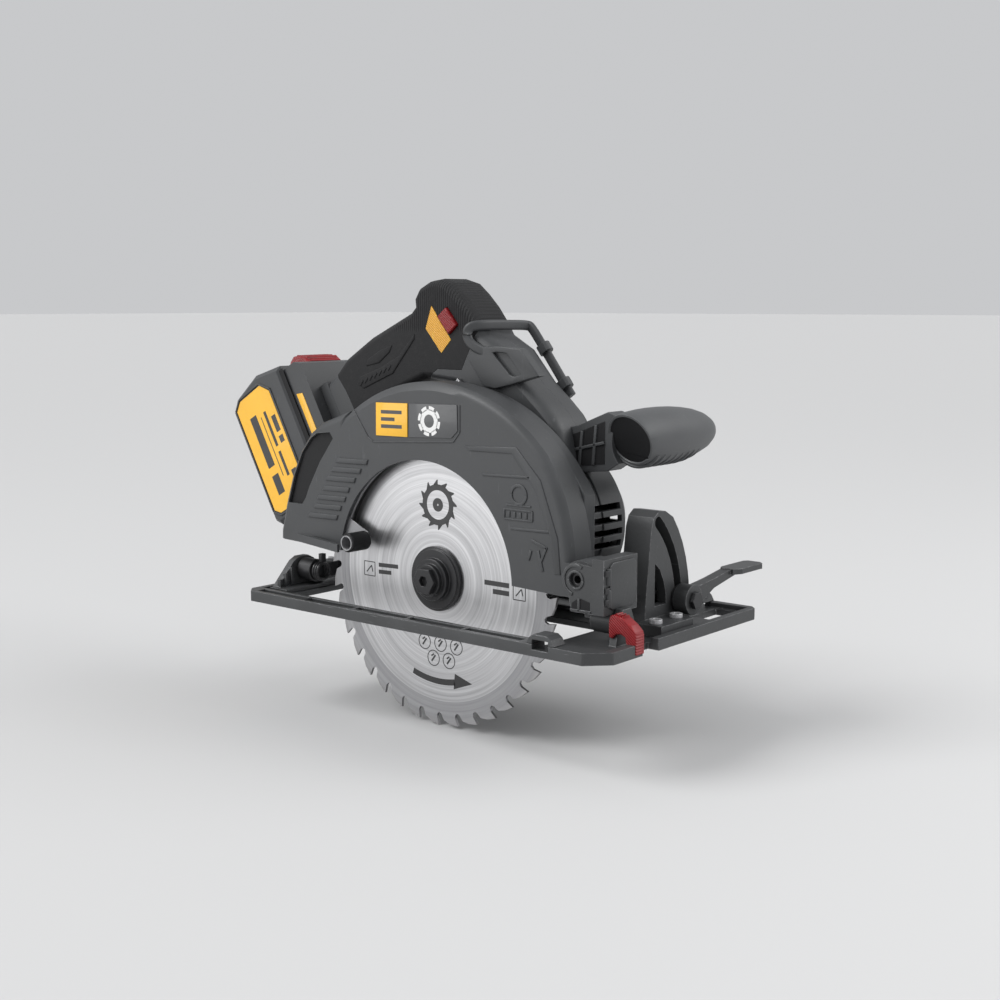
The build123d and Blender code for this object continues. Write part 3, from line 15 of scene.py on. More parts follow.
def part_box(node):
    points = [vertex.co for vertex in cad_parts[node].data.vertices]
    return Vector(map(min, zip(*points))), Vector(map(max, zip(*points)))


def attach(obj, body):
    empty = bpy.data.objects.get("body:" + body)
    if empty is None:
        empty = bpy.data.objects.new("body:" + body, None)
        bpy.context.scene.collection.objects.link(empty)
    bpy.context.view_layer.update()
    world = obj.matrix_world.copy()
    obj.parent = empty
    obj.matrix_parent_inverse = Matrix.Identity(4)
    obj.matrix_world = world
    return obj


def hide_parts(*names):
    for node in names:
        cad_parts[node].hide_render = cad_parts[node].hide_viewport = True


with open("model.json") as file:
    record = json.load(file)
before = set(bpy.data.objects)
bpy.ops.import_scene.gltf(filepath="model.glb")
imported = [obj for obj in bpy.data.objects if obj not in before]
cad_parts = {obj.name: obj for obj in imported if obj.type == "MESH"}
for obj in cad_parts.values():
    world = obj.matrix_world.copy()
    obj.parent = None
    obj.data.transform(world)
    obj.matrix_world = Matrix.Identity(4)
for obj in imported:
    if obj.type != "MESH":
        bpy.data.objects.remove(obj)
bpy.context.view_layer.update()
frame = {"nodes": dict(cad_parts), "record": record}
record = frame["record"]
BODY_OF = {node: body for body, nodes in record["behaviour"]["bodies"].items() for node in nodes}
MM = 0.001

# %% [markdown]
# Shader sums are easier to read as sums. A Signal is one output socket, and its plus, minus and
# times signs add Math nodes. A Finish is one material, and its node method adds any other node.

# %% Signals
class Signal:
    """One output of a material's nodes, with the signs of arithmetic."""

    def __init__(self, finish, socket):
        self.finish = finish
        self.socket = socket

    def maths(self, operation, *values):
        settings = {"operation": operation}
        return self.finish.node("ShaderNodeMath", settings, dict(enumerate(values)))

    def __add__(self, other):
        return self.maths("ADD", self, other)

    def __radd__(self, other):
        return self.maths("ADD", other, self)

    def __sub__(self, other):
        return self.maths("SUBTRACT", self, other)

    def __rsub__(self, other):
        return self.maths("SUBTRACT", other, self)

    def __mul__(self, other):
        return self.maths("MULTIPLY", self, other)

    def __rmul__(self, other):
        return self.maths("MULTIPLY", other, self)

    def __pow__(self, other):
        return self.maths("POWER", self, other)

    def sine(self):
        return self.maths("SINE", self)

    def size(self):
        """The value without its sign."""
        return self.maths("ABSOLUTE", self)

    def ramp(self, low, high):
        """0 at low, 1 at high, straight in between."""
        settings = {"clamp": True}
        return self.finish.node("ShaderNodeMapRange", settings, {0: self, 1: low, 2: high, 3: 0.0, 4: 1.0})


# %% Finishes
class Finish:
    """A procedural material with its own coordinates."""

    def __init__(self, name, rough=0.5, metal=0.0, specular=0.5, coat=0.0):
        self.material = bpy.data.materials.new(name)
        self.material.use_nodes = True
        self.tree = self.material.node_tree
        self.shader = self.tree.nodes["Principled BSDF"]
        self.shader.inputs["Roughness"].default_value = rough
        self.shader.inputs["Metallic"].default_value = metal
        self.shader.inputs["Specular IOR Level"].default_value = specular
        self.shader.inputs["Coat Weight"].default_value = coat
        self.place = self.node("ShaderNodeTexCoord", {}, {}, "Object")

    def node(self, kind, settings, values, output=0):
        made = self.tree.nodes.new(kind)
        for key, value in settings.items():
            setattr(made, key, value)
        for key, value in values.items():
            if isinstance(value, Signal):
                self.tree.links.new(value.socket, made.inputs[key])
            else:
                made.inputs[key].default_value = value
        return Signal(self, made.outputs[output])

    def feed(self, name, signal):
        self.tree.links.new(signal.socket, self.shader.inputs[name])

    def noise(self, scale, detail=3.0, rough=0.55, place=None):
        values = {"Vector": place or self.place, "Scale": scale, "Detail": detail, "Roughness": rough}
        return self.node("ShaderNodeTexNoise", {}, values)

    def stretched(self, scales):
        """Place stretched by another factor along each axis."""
        settings = {"operation": "MULTIPLY"}
        return self.node("ShaderNodeVectorMath", settings, {0: self.place, 1: scales})

    def axes(self):
        return [self.node("ShaderNodeSeparateXYZ", {}, {0: self.place}, axis) for axis in range(3)]

    def mix(self, share, first, second):
        settings = {"data_type": "RGBA"}
        values = {0: share, 6: colour4(first), 7: colour4(second)}
        return self.node("ShaderNodeMix", settings, values, 2)

    def bump(self, height, distance, strength=1.0, under=None):
        values = {"Height": height, "Distance": distance, "Strength": strength}
        if under is not None:
            values["Normal"] = under
        return self.node("ShaderNodeBump", {}, values)

    def edges(self, radius):
        """1 on sharp edges, where paint and plastic are rubbed."""
        soft = self.node("ShaderNodeBevel", {"samples": 3}, {"Radius": radius})
        flat = self.node("ShaderNodeNewGeometry", {}, {}, "Normal")
        same = self.node("ShaderNodeVectorMath", {"operation": "DOT_PRODUCT"}, {0: soft, 1: flat}, "Value")
        return (1.0 - same).ramp(0.015, 0.16)


def colour4(value):
    """Colour of three numbers as one of four, and a Signal as it is."""
    return value if isinstance(value, Signal) else (*value, 1.0)


# %% [markdown]
# Moulded plastic on a tool is never one colour: the mould leaves a fine spark-eroded grain, the
# sheen drifts over big faces, and handling polishes the edges and leaves short pale scuffs.

# %% Moulded plastic
FINE_RIBS = 5200.0  # radians per metre of the ribs on the small coloured mouldings
RIB_SLANT_X, RIB_SLANT_Z = 0.62, 0.78  # the way from one rib to the next


def moulded_plastic(name, dark, light, rough, grain=2400.0, depth=0.00005, specular=0.45, ribs=0.0):
    made = Finish(name, rough=rough, specular=specular)
    drift = made.noise(26.0, 4.0)
    fine = made.noise(grain, 2.0, 0.6)
    scuffs = made.noise(1.0, 3.0, 0.6, made.stretched((420.0, 260.0, 60.0))).ramp(0.66, 0.74)
    rubbed = made.edges(0.0007) * made.noise(160.0, 3.0).ramp(0.36, 0.62)
    worn = (scuffs * 0.28 + rubbed * 0.6).ramp(0.0, 1.0)
    base = made.mix(drift.ramp(0.3, 0.7), dark, light)
    pale = tuple(min(1.0, channel * 1.9 + 0.02) for channel in light)
    made.feed("Base Color", made.mix(worn, base, pale))
    made.feed("Roughness", rough + (drift - 0.5) * 0.22 - rubbed * 0.16 + (fine - 0.5) * 0.1)
    skin = made.bump(fine * 0.8 + scuffs * 0.2, depth)
    if ribs:
        x, _, z = made.axes()
        wave = ((x * RIB_SLANT_X + z * RIB_SLANT_Z) * ribs).sine()
        skin = made.bump(wave, 0.0002, 0.8, skin)
    made.feed("Normal", skin)
    return made.material


DARK_PLASTIC = moulded_plastic("dark_plastic", (0.044, 0.046, 0.048), (0.057, 0.059, 0.062), 0.47)
BLACK_PLASTIC = moulded_plastic("black_plastic", (0.009, 0.009, 0.010), (0.014, 0.014, 0.015), 0.55,
                                specular=0.25)
KNOB_PLASTIC = moulded_plastic("knob_plastic", (0.064, 0.066, 0.069), (0.082, 0.085, 0.088), 0.5,
                               grain=1700.0, depth=0.00008)
YELLOW_PLASTIC = moulded_plastic("yellow_plastic", (0.70, 0.34, 0.035), (0.80, 0.41, 0.05), 0.42,
                                 ribs=FINE_RIBS)
RED_PLASTIC = moulded_plastic("red_plastic", (0.20, 0.006, 0.009), (0.27, 0.009, 0.012), 0.4,
                              ribs=FINE_RIBS)
print("plastics ready")

# %% [markdown]
# The overmould on the grip is a soft rubber: duller than the plastic beside it, with a fine
# pebble and a little dust in its low places.

# %% Rubber
HORN_RIBS = 3600.0  # radians per metre of the upright ribs on the grip's front horn
HORN_FOOT = 172.0 * MM  # the ribs show above this height
HORN_FADE = 4.0 * MM  # and fade in over this much


def soft_rubber(name):
    made = Finish(name, rough=0.72, specular=0.35)
    pebble = made.node("ShaderNodeTexVoronoi", {"feature": "SMOOTH_F1"},
                       {"Vector": made.place, "Scale": 1300.0, "Smoothness": 0.6})
    drift = made.noise(45.0, 4.0)
    dust = made.noise(210.0, 5.0, 0.7).ramp(0.52, 0.78)
    base = made.mix(drift.ramp(0.3, 0.7), (0.010, 0.010, 0.011), (0.017, 0.017, 0.018))
    made.feed("Base Color", made.mix(dust * 0.35, base, (0.036, 0.035, 0.034)))
    made.feed("Roughness", 0.62 + drift * 0.2)
    x, _, z = made.axes()
    wave = (x * HORN_RIBS).sine() * z.ramp(HORN_FOOT, HORN_FOOT + HORN_FADE)
    made.feed("Normal", made.bump(wave, 0.0003, 0.8, made.bump(pebble, 0.00012, 0.7)))
    return made.material


GRIP_RUBBER = soft_rubber("grip_rubber")
print("rubber ready")

# %% [markdown]
# The shoe and its brackets are cast and stamped metal under a thin dark coat. The coat has an
# orange-peel skin, and it is rubbed through to bright metal on the corners.

# %% Coated metal
def coated_metal(name, coat, bare, rough, peel=520.0, depth=0.00009, wear=1.0):
    made = Finish(name, rough=rough, metal=0.55, specular=0.5)
    drift = made.noise(22.0, 4.0)
    skin = made.noise(peel, 3.0, 0.5)
    chips = made.noise(330.0, 4.0, 0.7).ramp(0.4, 0.58)
    rubbed = (made.edges(0.0006) * chips * wear).ramp(0.0, 1.0)
    long_marks = made.noise(1.0, 2.0, 0.5, made.stretched((55.0, 1500.0, 900.0)))
    scratches = long_marks.ramp(0.7, 0.76) * 0.35
    shade = tuple(channel * 0.74 for channel in coat)
    base = made.mix(drift.ramp(0.3, 0.7), shade, coat)
    bright = (rubbed + scratches * wear).ramp(0.0, 1.0)
    made.feed("Base Color", made.mix(bright, base, bare))
    made.feed("Metallic", 0.35 + bright * 0.6)
    made.feed("Roughness", rough + (drift - 0.5) * 0.2 - bright * 0.14)
    made.feed("Normal", made.bump(skin, depth))
    return made.material


CAST_COAT = coated_metal("cast_coat", (0.066, 0.068, 0.070), (0.34, 0.34, 0.35), 0.46)
BLACK_OXIDE = coated_metal("black_oxide", (0.030, 0.030, 0.032), (0.22, 0.22, 0.22), 0.38,
                           peel=900.0, depth=0.00003, wear=0.6)
ZINC = coated_metal("zinc_screw", (0.50, 0.50, 0.51), (0.66, 0.66, 0.66), 0.33,
                    peel=1400.0, depth=0.00002, wear=0.4)
GUARD_METAL = coated_metal("guard_metal", (0.30, 0.30, 0.31), (0.6, 0.6, 0.6), 0.42,
                           peel=700.0, depth=0.00004, wear=0.8)
print("coated metals ready")

# %% [markdown]
# Bare steel keeps the marks of how it was made. The blade is ground while it turns, so its
# scratches are rings; flat guides and shafts are drawn, so theirs run along.

# %% Ground steel
BLADE_AXIS_Z = 24.0 * MM
BLADE_R = 92.0 * MM
MATTE_BAND_R = 77.0 * MM  # from here outwards the ground face is duller
TOOTH_BAND_R = 86.0 * MM  # and from here it is tinted by brazing the teeth
BAND_SOFTNESS = 0.2 * MM


def ring_ground_steel(name):
    made = Finish(name, rough=0.3, metal=1.0)
    x, _, z = made.axes()
    up = z - BLADE_AXIS_Z
    radius = (x * x + up * up) ** 0.5
    rings = made.node("ShaderNodeCombineXYZ", {}, {0: radius * 5200.0, 1: x * 28.0, 2: up * 28.0})
    fine = made.noise(1.0, 3.0, 0.6, rings)
    broad_rings = made.node("ShaderNodeCombineXYZ", {}, {0: radius * 620.0, 1: x * 9.0, 2: up * 9.0})
    broad = made.noise(1.0, 2.0, 0.5, broad_rings)
    outer = radius.ramp(MATTE_BAND_R - BAND_SOFTNESS, MATTE_BAND_R + BAND_SOFTNESS)
    line = 1.0 - ((radius - MATTE_BAND_R) * 2500.0).size().ramp(0.0, 1.0)
    heat = radius.ramp(TOOTH_BAND_R, BLADE_R)
    smudge = made.noise(38.0, 5.0, 0.6)
    streak = (fine * 0.4 + broad * 0.6).ramp(0.34, 0.66)
    inner_colour = made.mix(streak, (0.40, 0.40, 0.41), (0.66, 0.66, 0.67))
    outer_colour = made.mix(streak, (0.30, 0.30, 0.31), (0.43, 0.43, 0.44))
    base = made.mix(outer, inner_colour, outer_colour)
    base = made.mix(line * 0.6, base, (0.25, 0.25, 0.26))
    base = made.mix(heat * 0.35, base, (0.36, 0.35, 0.34))
    made.feed("Base Color", base)
    touched = smudge.ramp(0.5, 0.8) * 0.08
    made.feed("Roughness", 0.24 + fine * 0.14 + outer * 0.13 + broad * 0.08 + touched)
    made.feed("Normal", made.bump(fine * 0.7 + broad * 0.3, 0.00003, 0.8))
    return made.material


def drawn_steel(name, colour, rough, scales):
    made = Finish(name, rough=rough, metal=1.0)
    fine = made.noise(1.0, 3.0, 0.6, made.stretched(scales))
    drift = made.noise(60.0, 4.0)
    shade = tuple(channel * 0.7 for channel in colour)
    made.feed("Base Color", made.mix(fine, shade, colour))
    made.feed("Roughness", rough + (fine - 0.5) * 0.2 + (drift - 0.5) * 0.15)
    made.feed("Normal", made.bump(fine, 0.00003, 0.6))
    return made.material


BLADE_STEEL = ring_ground_steel("blade_steel")
GUIDE_STEEL = drawn_steel("guide_steel", (0.50, 0.50, 0.51), 0.34, (90.0, 900.0, 900.0))
SHAFT_STEEL = drawn_steel("shaft_steel", (0.62, 0.62, 0.63), 0.28, (900.0, 70.0, 900.0))
LAMINATED_STEEL = drawn_steel("laminated_steel", (0.34, 0.34, 0.35), 0.42, (40.0, 2600.0, 40.0))
print("steels ready")

# %% [markdown]
# Inside are the windings, the cells in their shrink wrap, and a green circuit board. They show
# only through vents and when the battery is off, but they are finished all the same.

# %% Inner finishes
def enamelled_copper(name):
    made = Finish(name, rough=0.3, metal=0.85, coat=0.4)
    turns = made.noise(1.0, 1.0, 0.4, made.stretched((1500.0, 120.0, 1500.0)))
    made.feed("Base Color", made.mix(turns, (0.45, 0.17, 0.06), (0.80, 0.40, 0.17)))
    made.feed("Roughness", 0.22 + turns * 0.2)
    made.feed("Normal", made.bump(turns, 0.0002))
    return made.material


def shrink_wrap(name):
    made = Finish(name, rough=0.25, coat=0.3)
    ripple = made.noise(140.0, 3.0)
    made.feed("Base Color", made.mix(ripple, (0.02, 0.12, 0.34), (0.03, 0.17, 0.45)))
    made.feed("Roughness", 0.18 + ripple * 0.2)
    made.feed("Normal", made.bump(ripple, 0.0002, 0.5))
    return made.material


def circuit_board(name):
    made = Finish(name, rough=0.4, coat=0.2)
    cells = made.node("ShaderNodeTexVoronoi", {"distance": "CHEBYCHEV"},
                      {"Vector": made.place, "Scale": 420.0})
    tracks = cells.ramp(0.30, 0.36)
    made.feed("Base Color", made.mix(tracks, (0.010, 0.075, 0.030), (0.03, 0.17, 0.06)))
    made.feed("Roughness", 0.3 + tracks * 0.2)
    made.feed("Normal", made.bump(tracks, 0.00006))
    return made.material


def printed_film(name, colour, rough=0.3):
    """Printed polyester film: even colour, a little orange peel, dulled by hands."""
    made = Finish(name, rough=rough, coat=0.25)
    drift = made.noise(35.0, 4.0)
    dull = made.noise(300.0, 5.0, 0.7).ramp(0.55, 0.8)
    shade = tuple(channel * 0.88 for channel in colour)
    base = made.mix(drift.ramp(0.3, 0.7), shade, colour)
    made.feed("Base Color", made.mix(dull * 0.25, base, tuple(channel * 0.6 for channel in colour)))
    made.feed("Roughness", rough + dull * 0.25)
    made.feed("Normal", made.bump(made.noise(700.0, 2.0), 0.00002))
    return made.material


COPPER = enamelled_copper("copper_winding")
CELL_WRAP = shrink_wrap("cell_wrap")
BOARD = circuit_board("circuit_board")
YELLOW_FILM = printed_film("yellow_film", (0.93, 0.50, 0.025))
BLACK_FILM = printed_film("black_film", (0.022, 0.022, 0.023))
GREY_FILM = printed_film("grey_film", (0.075, 0.077, 0.080))
WHITE_FILM = printed_film("white_film", (0.80, 0.80, 0.79))
print(len(bpy.data.materials), "materials in all")

# %% [markdown]
# Real edges are never knife sharp. A CAD solid comes as loose triangles, so each shown solid is
# copied, its doubles merged and its flat faces joined, and a Bevel rounds what is left.

# %% Rounded copies of the solids
SHARP_ANGLE = math.radians(35.0)  # two faces that meet at more than this keep a crisp edge
BEVEL_ANGLE = math.radians(32.0)
SAME_POINT = 1e-6  # metres, under which two vertices are one


def new_object(name, shape, material, body):
    """Object from a bmesh, riding on a body; the bmesh is freed."""
    mesh = bpy.data.meshes.new(name)
    shape.to_mesh(mesh)
    shape.free()
    mesh.shade_smooth()
    mesh.set_sharp_from_angle(angle=SHARP_ANGLE)
    mesh.materials.append(material)
    made = bpy.data.objects.new(name, mesh)
    bpy.context.scene.collection.objects.link(made)
    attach(made, body)
    return made


def round_edges(made, width):
    """Finishing modifiers: a narrow bevel on the sharp edges, and normals that keep faces flat."""
    bevel = made.modifiers.new("rounded_edges", "BEVEL")
    bevel.width = width * MM
    bevel.segments = 2
    bevel.limit_method = "ANGLE"
    bevel.angle_limit = BEVEL_ANGLE
    bevel.use_clamp_overlap = True
    bevel.harden_normals = False
    level = made.modifiers.new("flat_faces", "WEIGHTED_NORMAL")
    level.keep_sharp = True


PIERCED = ("shoe_plate", "front_bracket")  # their faces have holes, so they stay triangles


def merged_solid(node):
    """A CAD solid as a bmesh, with its doubles merged and its flat faces joined."""
    shape = bmesh.new()
    shape.from_mesh(frame["nodes"][node].data)
    bmesh.ops.remove_doubles(shape, verts=shape.verts[:], dist=0.5e-6)
    if node not in PIERCED:
        bmesh.ops.dissolve_limit(shape, angle_limit=math.radians(0.4), use_dissolve_boundaries=False,
                                 verts=shape.verts[:], edges=shape.edges[:])
    return shape


def finished_solid(node, material, width, shape=None):
    """Rounded piece that stands for a solid; shape is the solid's own unless another is given."""
    shape = merged_solid(node) if shape is None else shape
    made = new_object(node + "_finished", shape, material, BODY_OF[node])
    round_edges(made, width)
    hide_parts(node)


# %% Which finish and how much rounding
ROUNDED = [  # node, finish, width of the bevel in millimetres
    ("shoe_plate", CAST_COAT, 0.5), ("fence_guides", CAST_COAT, 0.5), ("bevel_quadrant", CAST_COAT, 0.8),
    ("quadrant_screws", ZINC, 0.2), ("rear_hinge", CAST_COAT, 0.4),
    ("front_bracket", CAST_COAT, 0.6), ("tilt_pins", BLACK_OXIDE, 0.3), ("depth_arc", GUIDE_STEEL, 0.2),
    ("rear_bracket", BLACK_OXIDE, 0.5), ("guide_rivet", ZINC, 0.3), ("bevel_lever", CAST_COAT, 0.7),
    ("bevel_bolt", BLACK_OXIDE, 0.25), ("upper_guard", DARK_PLASTIC, 0.6),
    ("guard_inner_half", DARK_PLASTIC, 0.6), ("chip_outlet", BLACK_PLASTIC, 0.2),
    ("lower_guard", GUARD_METAL, 0.25), ("lift_lever", GUARD_METAL, 0.15),
    ("lift_sleeve", BLACK_PLASTIC, 0.5), ("outer_flange", BLACK_OXIDE, 0.4), ("inner_flange", SHAFT_STEEL, 0.3),
    ("gear_case", CAST_COAT, 0.6), ("motor_housing", DARK_PLASTIC, 0.5), ("motor_cap", DARK_PLASTIC, 0.8),
    ("handle_near", DARK_PLASTIC, 0.9), ("handle_far", DARK_PLASTIC, 0.9),
    ("grip_overmould", GRIP_RUBBER, 0.9), ("side_accents", YELLOW_PLASTIC, 0.3),
    ("lock_off_button", RED_PLASTIC, 0.8), ("trigger", BLACK_PLASTIC, 1.2),
    ("front_handle_arm", DARK_PLASTIC, 1.2),
    ("hook_clips", DARK_PLASTIC, 0.5), ("battery_dock", DARK_PLASTIC, 0.6), ("pack_case", DARK_PLASTIC, 1.4),
    ("pack_cover", DARK_PLASTIC, 0.9), ("depth_lever", DARK_PLASTIC, 0.8), ("depth_bolt", ZINC, 0.25),
    ("depth_pin", BLACK_OXIDE, 0.3), ("spindle_lock", BLACK_PLASTIC, 0.5), ("housing_screws", ZINC, 0.2),
]
for node, material, width in ROUNDED:
    finished_solid(node, material, width)
print(len(ROUNDED), "solids with rounded edges")

# %% [markdown]
# The blade bolt's head is low, and the solid's stands too far out. Everything in front of the
# head's foot is squeezed towards it along the bolt, and the rest of the bolt stays as it is.

# %% Blade bolt with a low head
HEAD_FOOT_Y = -6.5 * MM
HEAD_SHORTER = 0.5
bolt_shape = merged_solid("blade_bolt")
for vert in bolt_shape.verts:
    if vert.co.y < HEAD_FOOT_Y:
        vert.co.y = HEAD_FOOT_Y + (vert.co.y - HEAD_FOOT_Y) * HEAD_SHORTER
finished_solid("blade_bolt", BLACK_OXIDE, 0.35, bolt_shape)
print("bolt head at", HEAD_SHORTER, "of its length")

# %% [markdown]
# The remaining solids are machined, hidden or flat, so their own mesh stays and only the finish
# is new.

# %% Finishes for the solids that stay
KEPT = {
    "blade": BLADE_STEEL, "badge": GREY_FILM, "spindle_shaft": SHAFT_STEEL, "spindle_gear": SHAFT_STEEL,
    "layshaft": SHAFT_STEEL, "pinion": SHAFT_STEEL, "rotor": LAMINATED_STEEL, "fan": BLACK_PLASTIC,
    "stator": LAMINATED_STEEL, "windings": COPPER, "bearings": SHAFT_STEEL, "switch": BLACK_PLASTIC,
    "controller": BOARD, "dock_contacts": SHAFT_STEEL, "cells": CELL_WRAP, "pack_labels": YELLOW_FILM,
}
for node, material in KEPT.items():
    mesh = frame["nodes"][node].data
    mesh.materials.clear()
    mesh.materials.append(material)
print(len(KEPT), "solids keep their mesh")

# %% [markdown]
# Small trim is cut from sheet: an outline becomes one face, the face is pulled out to its
# thickness, and the rims are bevelled. Outlines are (x, z) in millimetres on a plane across Y.

# %% Plates from outlines
def plate_shape(outline, y, thickness, rim=0.0):
    """Flat plate whose outer face lies at y - thickness; a negative thickness faces the other way."""
    shape = bmesh.new()
    corners = [shape.verts.new((x * MM, y * MM, z * MM)) for x, z in outline]
    face = shape.faces.new(corners)
    pulled = bmesh.ops.extrude_face_region(shape, geom=[face])["geom"]
    moved = [item for item in pulled if isinstance(item, bmesh.types.BMVert)]
    bmesh.ops.translate(shape, verts=moved, vec=(0, -thickness * MM, 0))
    bmesh.ops.recalc_face_normals(shape, faces=shape.faces[:])
    if rim:
        top = [edge for edge in shape.edges if all(vert in moved for vert in edge.verts)]
        bmesh.ops.bevel(shape, geom=top, offset=rim * MM, segments=3, profile=0.5, affect="EDGES",
                        material=-1, offset_type="OFFSET", clamp_overlap=True)
    return shape


def joined(shapes):
    """Several bmeshes as one."""
    whole = bmesh.new()
    for shape in shapes:
        mesh = bpy.data.meshes.new("part")
        shape.to_mesh(mesh)
        shape.free()
        whole.from_mesh(mesh)
        bpy.data.meshes.remove(mesh)
    return whole


def plates(name, outlines, y, thickness, material, body, rim=0.0):
    shapes = [plate_shape(outline, y, thickness, rim) for outline in outlines]
    made = new_object(name, joined(shapes), material, body)
    print(name, len(made.data.polygons), "faces")
    return made


# %% Outlines
SPINDLE_AT = (0.0, 24.0)  # x and z of the blade's centre, in millimetres


def arc_points(radius, start, end, steps, centre=SPINDLE_AT):
    """Points on a circle, in degrees from forward towards up."""
    turn = [math.radians(start + (end - start) * i / steps) for i in range(steps + 1)]
    return [(centre[0] + radius * math.cos(a), centre[1] + radius * math.sin(a)) for a in turn]


def band(inner, outer, start, end, steps, centre=SPINDLE_AT):
    """Outline of a curved band."""
    return arc_points(outer, start, end, steps, centre) + arc_points(inner, end, start, steps, centre)


def full_ring(inner, outer, centre, steps=14):
    """Outlines of the two halves of a ring; one outline can't go round a hole."""
    return [band(inner, outer, 0, 180, steps, centre), band(inner, outer, 180, 360, steps, centre)]


def bar(x0, z0, x1, z1, width):
    """Outline of a straight bar between two points."""
    length = math.hypot(x1 - x0, z1 - z0)
    nx, nz = -(z1 - z0) / length * width / 2, (x1 - x0) / length * width / 2
    return [(x0 + nx, z0 + nz), (x1 + nx, z1 + nz), (x1 - nx, z1 - nz), (x0 - nx, z0 - nz)]


def frame_bars(x0, z0, x1, z1, width):
    """Outlines of the four bars of a rectangular frame."""
    sides = [(x0, z0, x1, z0), (x0, z1, x1, z1), (x0, z0, x0, z1), (x1, z0, x1, z1)]
    return [bar(*side, width) for side in sides]


# %% [markdown]
# The guard's face is a big plain moulding, so the maker breaks it up: louvres at the rear that
# stiffen it, shallow steps towards the front and a raised arrow for the blade's turn. Each is a
# plate whose back is sunk a tenth of a millimetre into the face, so that no gap shows.

# %% Guard louvres and steps
GUARD_FACE_Y = -10.0
SUNK = 0.1
louvre_ends = [  # x and z of the rear top corner, and x of the front one
    (-75.9, 93.9, -49.5), (-80.1, 87.9, -55.5), (-85.2, 81.8, -60.5), (-88.6, 75.2, -66.0),
    (-93.8, 69.0, -69.5), (-97.2, 62.9, -73.5), (-102.5, 56.6, -77.0),
]
louvres = []
for x0, z0, x1 in louvre_ends:
    louvres.append([(x0, z0), (x1, z0 + 0.3), (x1 - 1.2, z0 - 3.2), (x0 - 2.6, z0 - 3.4)])
plates("guard_louvres", louvres, GUARD_FACE_Y + SUNK, 1.1, DARK_PLASTIC, "saw", 0.8)

slant_strip = [(30, 108), (69.3, 109.6), (87, 92), (99.4, 60), (101.6, 39.5),
               (97.2, 39.5), (94, 60), (83, 86), (66, 105.6), (34, 105.2)]
step_panels = [slant_strip, bar(44, 92.2, 79.5, 92.9, 1.8), bar(65, 62.6, 93.0, 63.1, 1.8)]
plates("guard_steps", step_panels, GUARD_FACE_Y + SUNK, 0.7, DARK_PLASTIC, "saw", 0.55)

# %% Raised marks on the guard
turn_arrow = [bar(85.3, 51.8, 88.6, 40.2, 1.8), bar(80.6, 57.4, 91.9, 53.5, 1.6),
              bar(91.4, 54.2, 87.6, 46.0, 1.6), bar(80.2, 51.4, 78.4, 45.6, 1.6)]
ticks = [bar(64 + 4.2 * i, 69.2, 64 + 4.2 * i, 72.4, 1.6) for i in range(4)]
ticked_frame = frame_bars(60.5, 68.0, 81.1, 73.6, 1.0) + ticks
ring_mark = full_ring(4.6, 6.4, (71.0, 82.4)) + [bar(62.0, 76.2, 80.0, 76.2, 1.0)]
plates("guard_marks", turn_arrow + ticked_frame + ring_mark, GUARD_FACE_Y + SUNK, 0.75, DARK_PLASTIC,
       "saw", 0.25)

# %% [markdown]
# The badge is two films in a moulded surround: a grey panel with a white toothed ring, and a
# yellow square with three dark bars. The films are plates too, and the ink on them is a thinner
# plate, so the marks are shapes of their own and stay crisp at any distance.

# %% Badge
PANEL_THICKNESS = 0.5
SQUARE_THICKNESS = 0.62
INK_THICKNESS = 0.08
BADGE_MARK_AT = (2.4, 121.0)
badge_rim = [
    bar(-61.7, 124.6, -49.4, 108.5, 1.0), bar(-49.4, 108.5, -44.8, 105.8, 1.0),
    bar(-44.8, 105.8, 21.2, 109.6, 1.0), bar(21.2, 109.6, 26.3, 115.6, 1.0), bar(26.3, 115.6, 26.3, 131.6, 1.0),
]
plates("badge_rim", badge_rim, GUARD_FACE_Y + SUNK, 0.6, DARK_PLASTIC, "saw", 0.3)

panel = [(-14.3, 110.4), (20.0, 111.8), (24.9, 116.3), (24.5, 131.6), (-14.3, 130.9)]
badge_panel = plates("badge_panel", [panel], GUARD_FACE_Y, PANEL_THICKNESS, GREY_FILM, "saw", 0.2)
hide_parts("badge")
square = [(-42.1, 110.0), (-15.6, 110.4), (-15.4, 130.8), (-41.9, 130.3)]
plates("badge_square", [square], GUARD_FACE_Y, SQUARE_THICKNESS, YELLOW_FILM, "saw", 0.2)
square_bars = [bar(-37.5, 116.0, -20.0, 116.3, 2.2), bar(-37.5, 120.4, -26.0, 120.6, 2.2),
               bar(-37.5, 124.8, -20.0, 125.1, 2.2)]
plates("badge_square_mark", square_bars, GUARD_FACE_Y - SQUARE_THICKNESS, INK_THICKNESS, BLACK_FILM,
       "saw")
white_teeth = [band(6.6, 9.0, 15 + 45 * i, 45 + 45 * i, 4, BADGE_MARK_AT) for i in range(8)]
plates("badge_mark", full_ring(4.0, 7.0, BADGE_MARK_AT) + white_teeth, GUARD_FACE_Y - PANEL_THICKNESS,
       INK_THICKNESS, WHITE_FILM, "saw")

# %% [markdown]
# The blade carries screen-printed marks: which way it turns and plain safety symbols. They are
# films of black ink a few hundredths thick, and they turn with the blade.

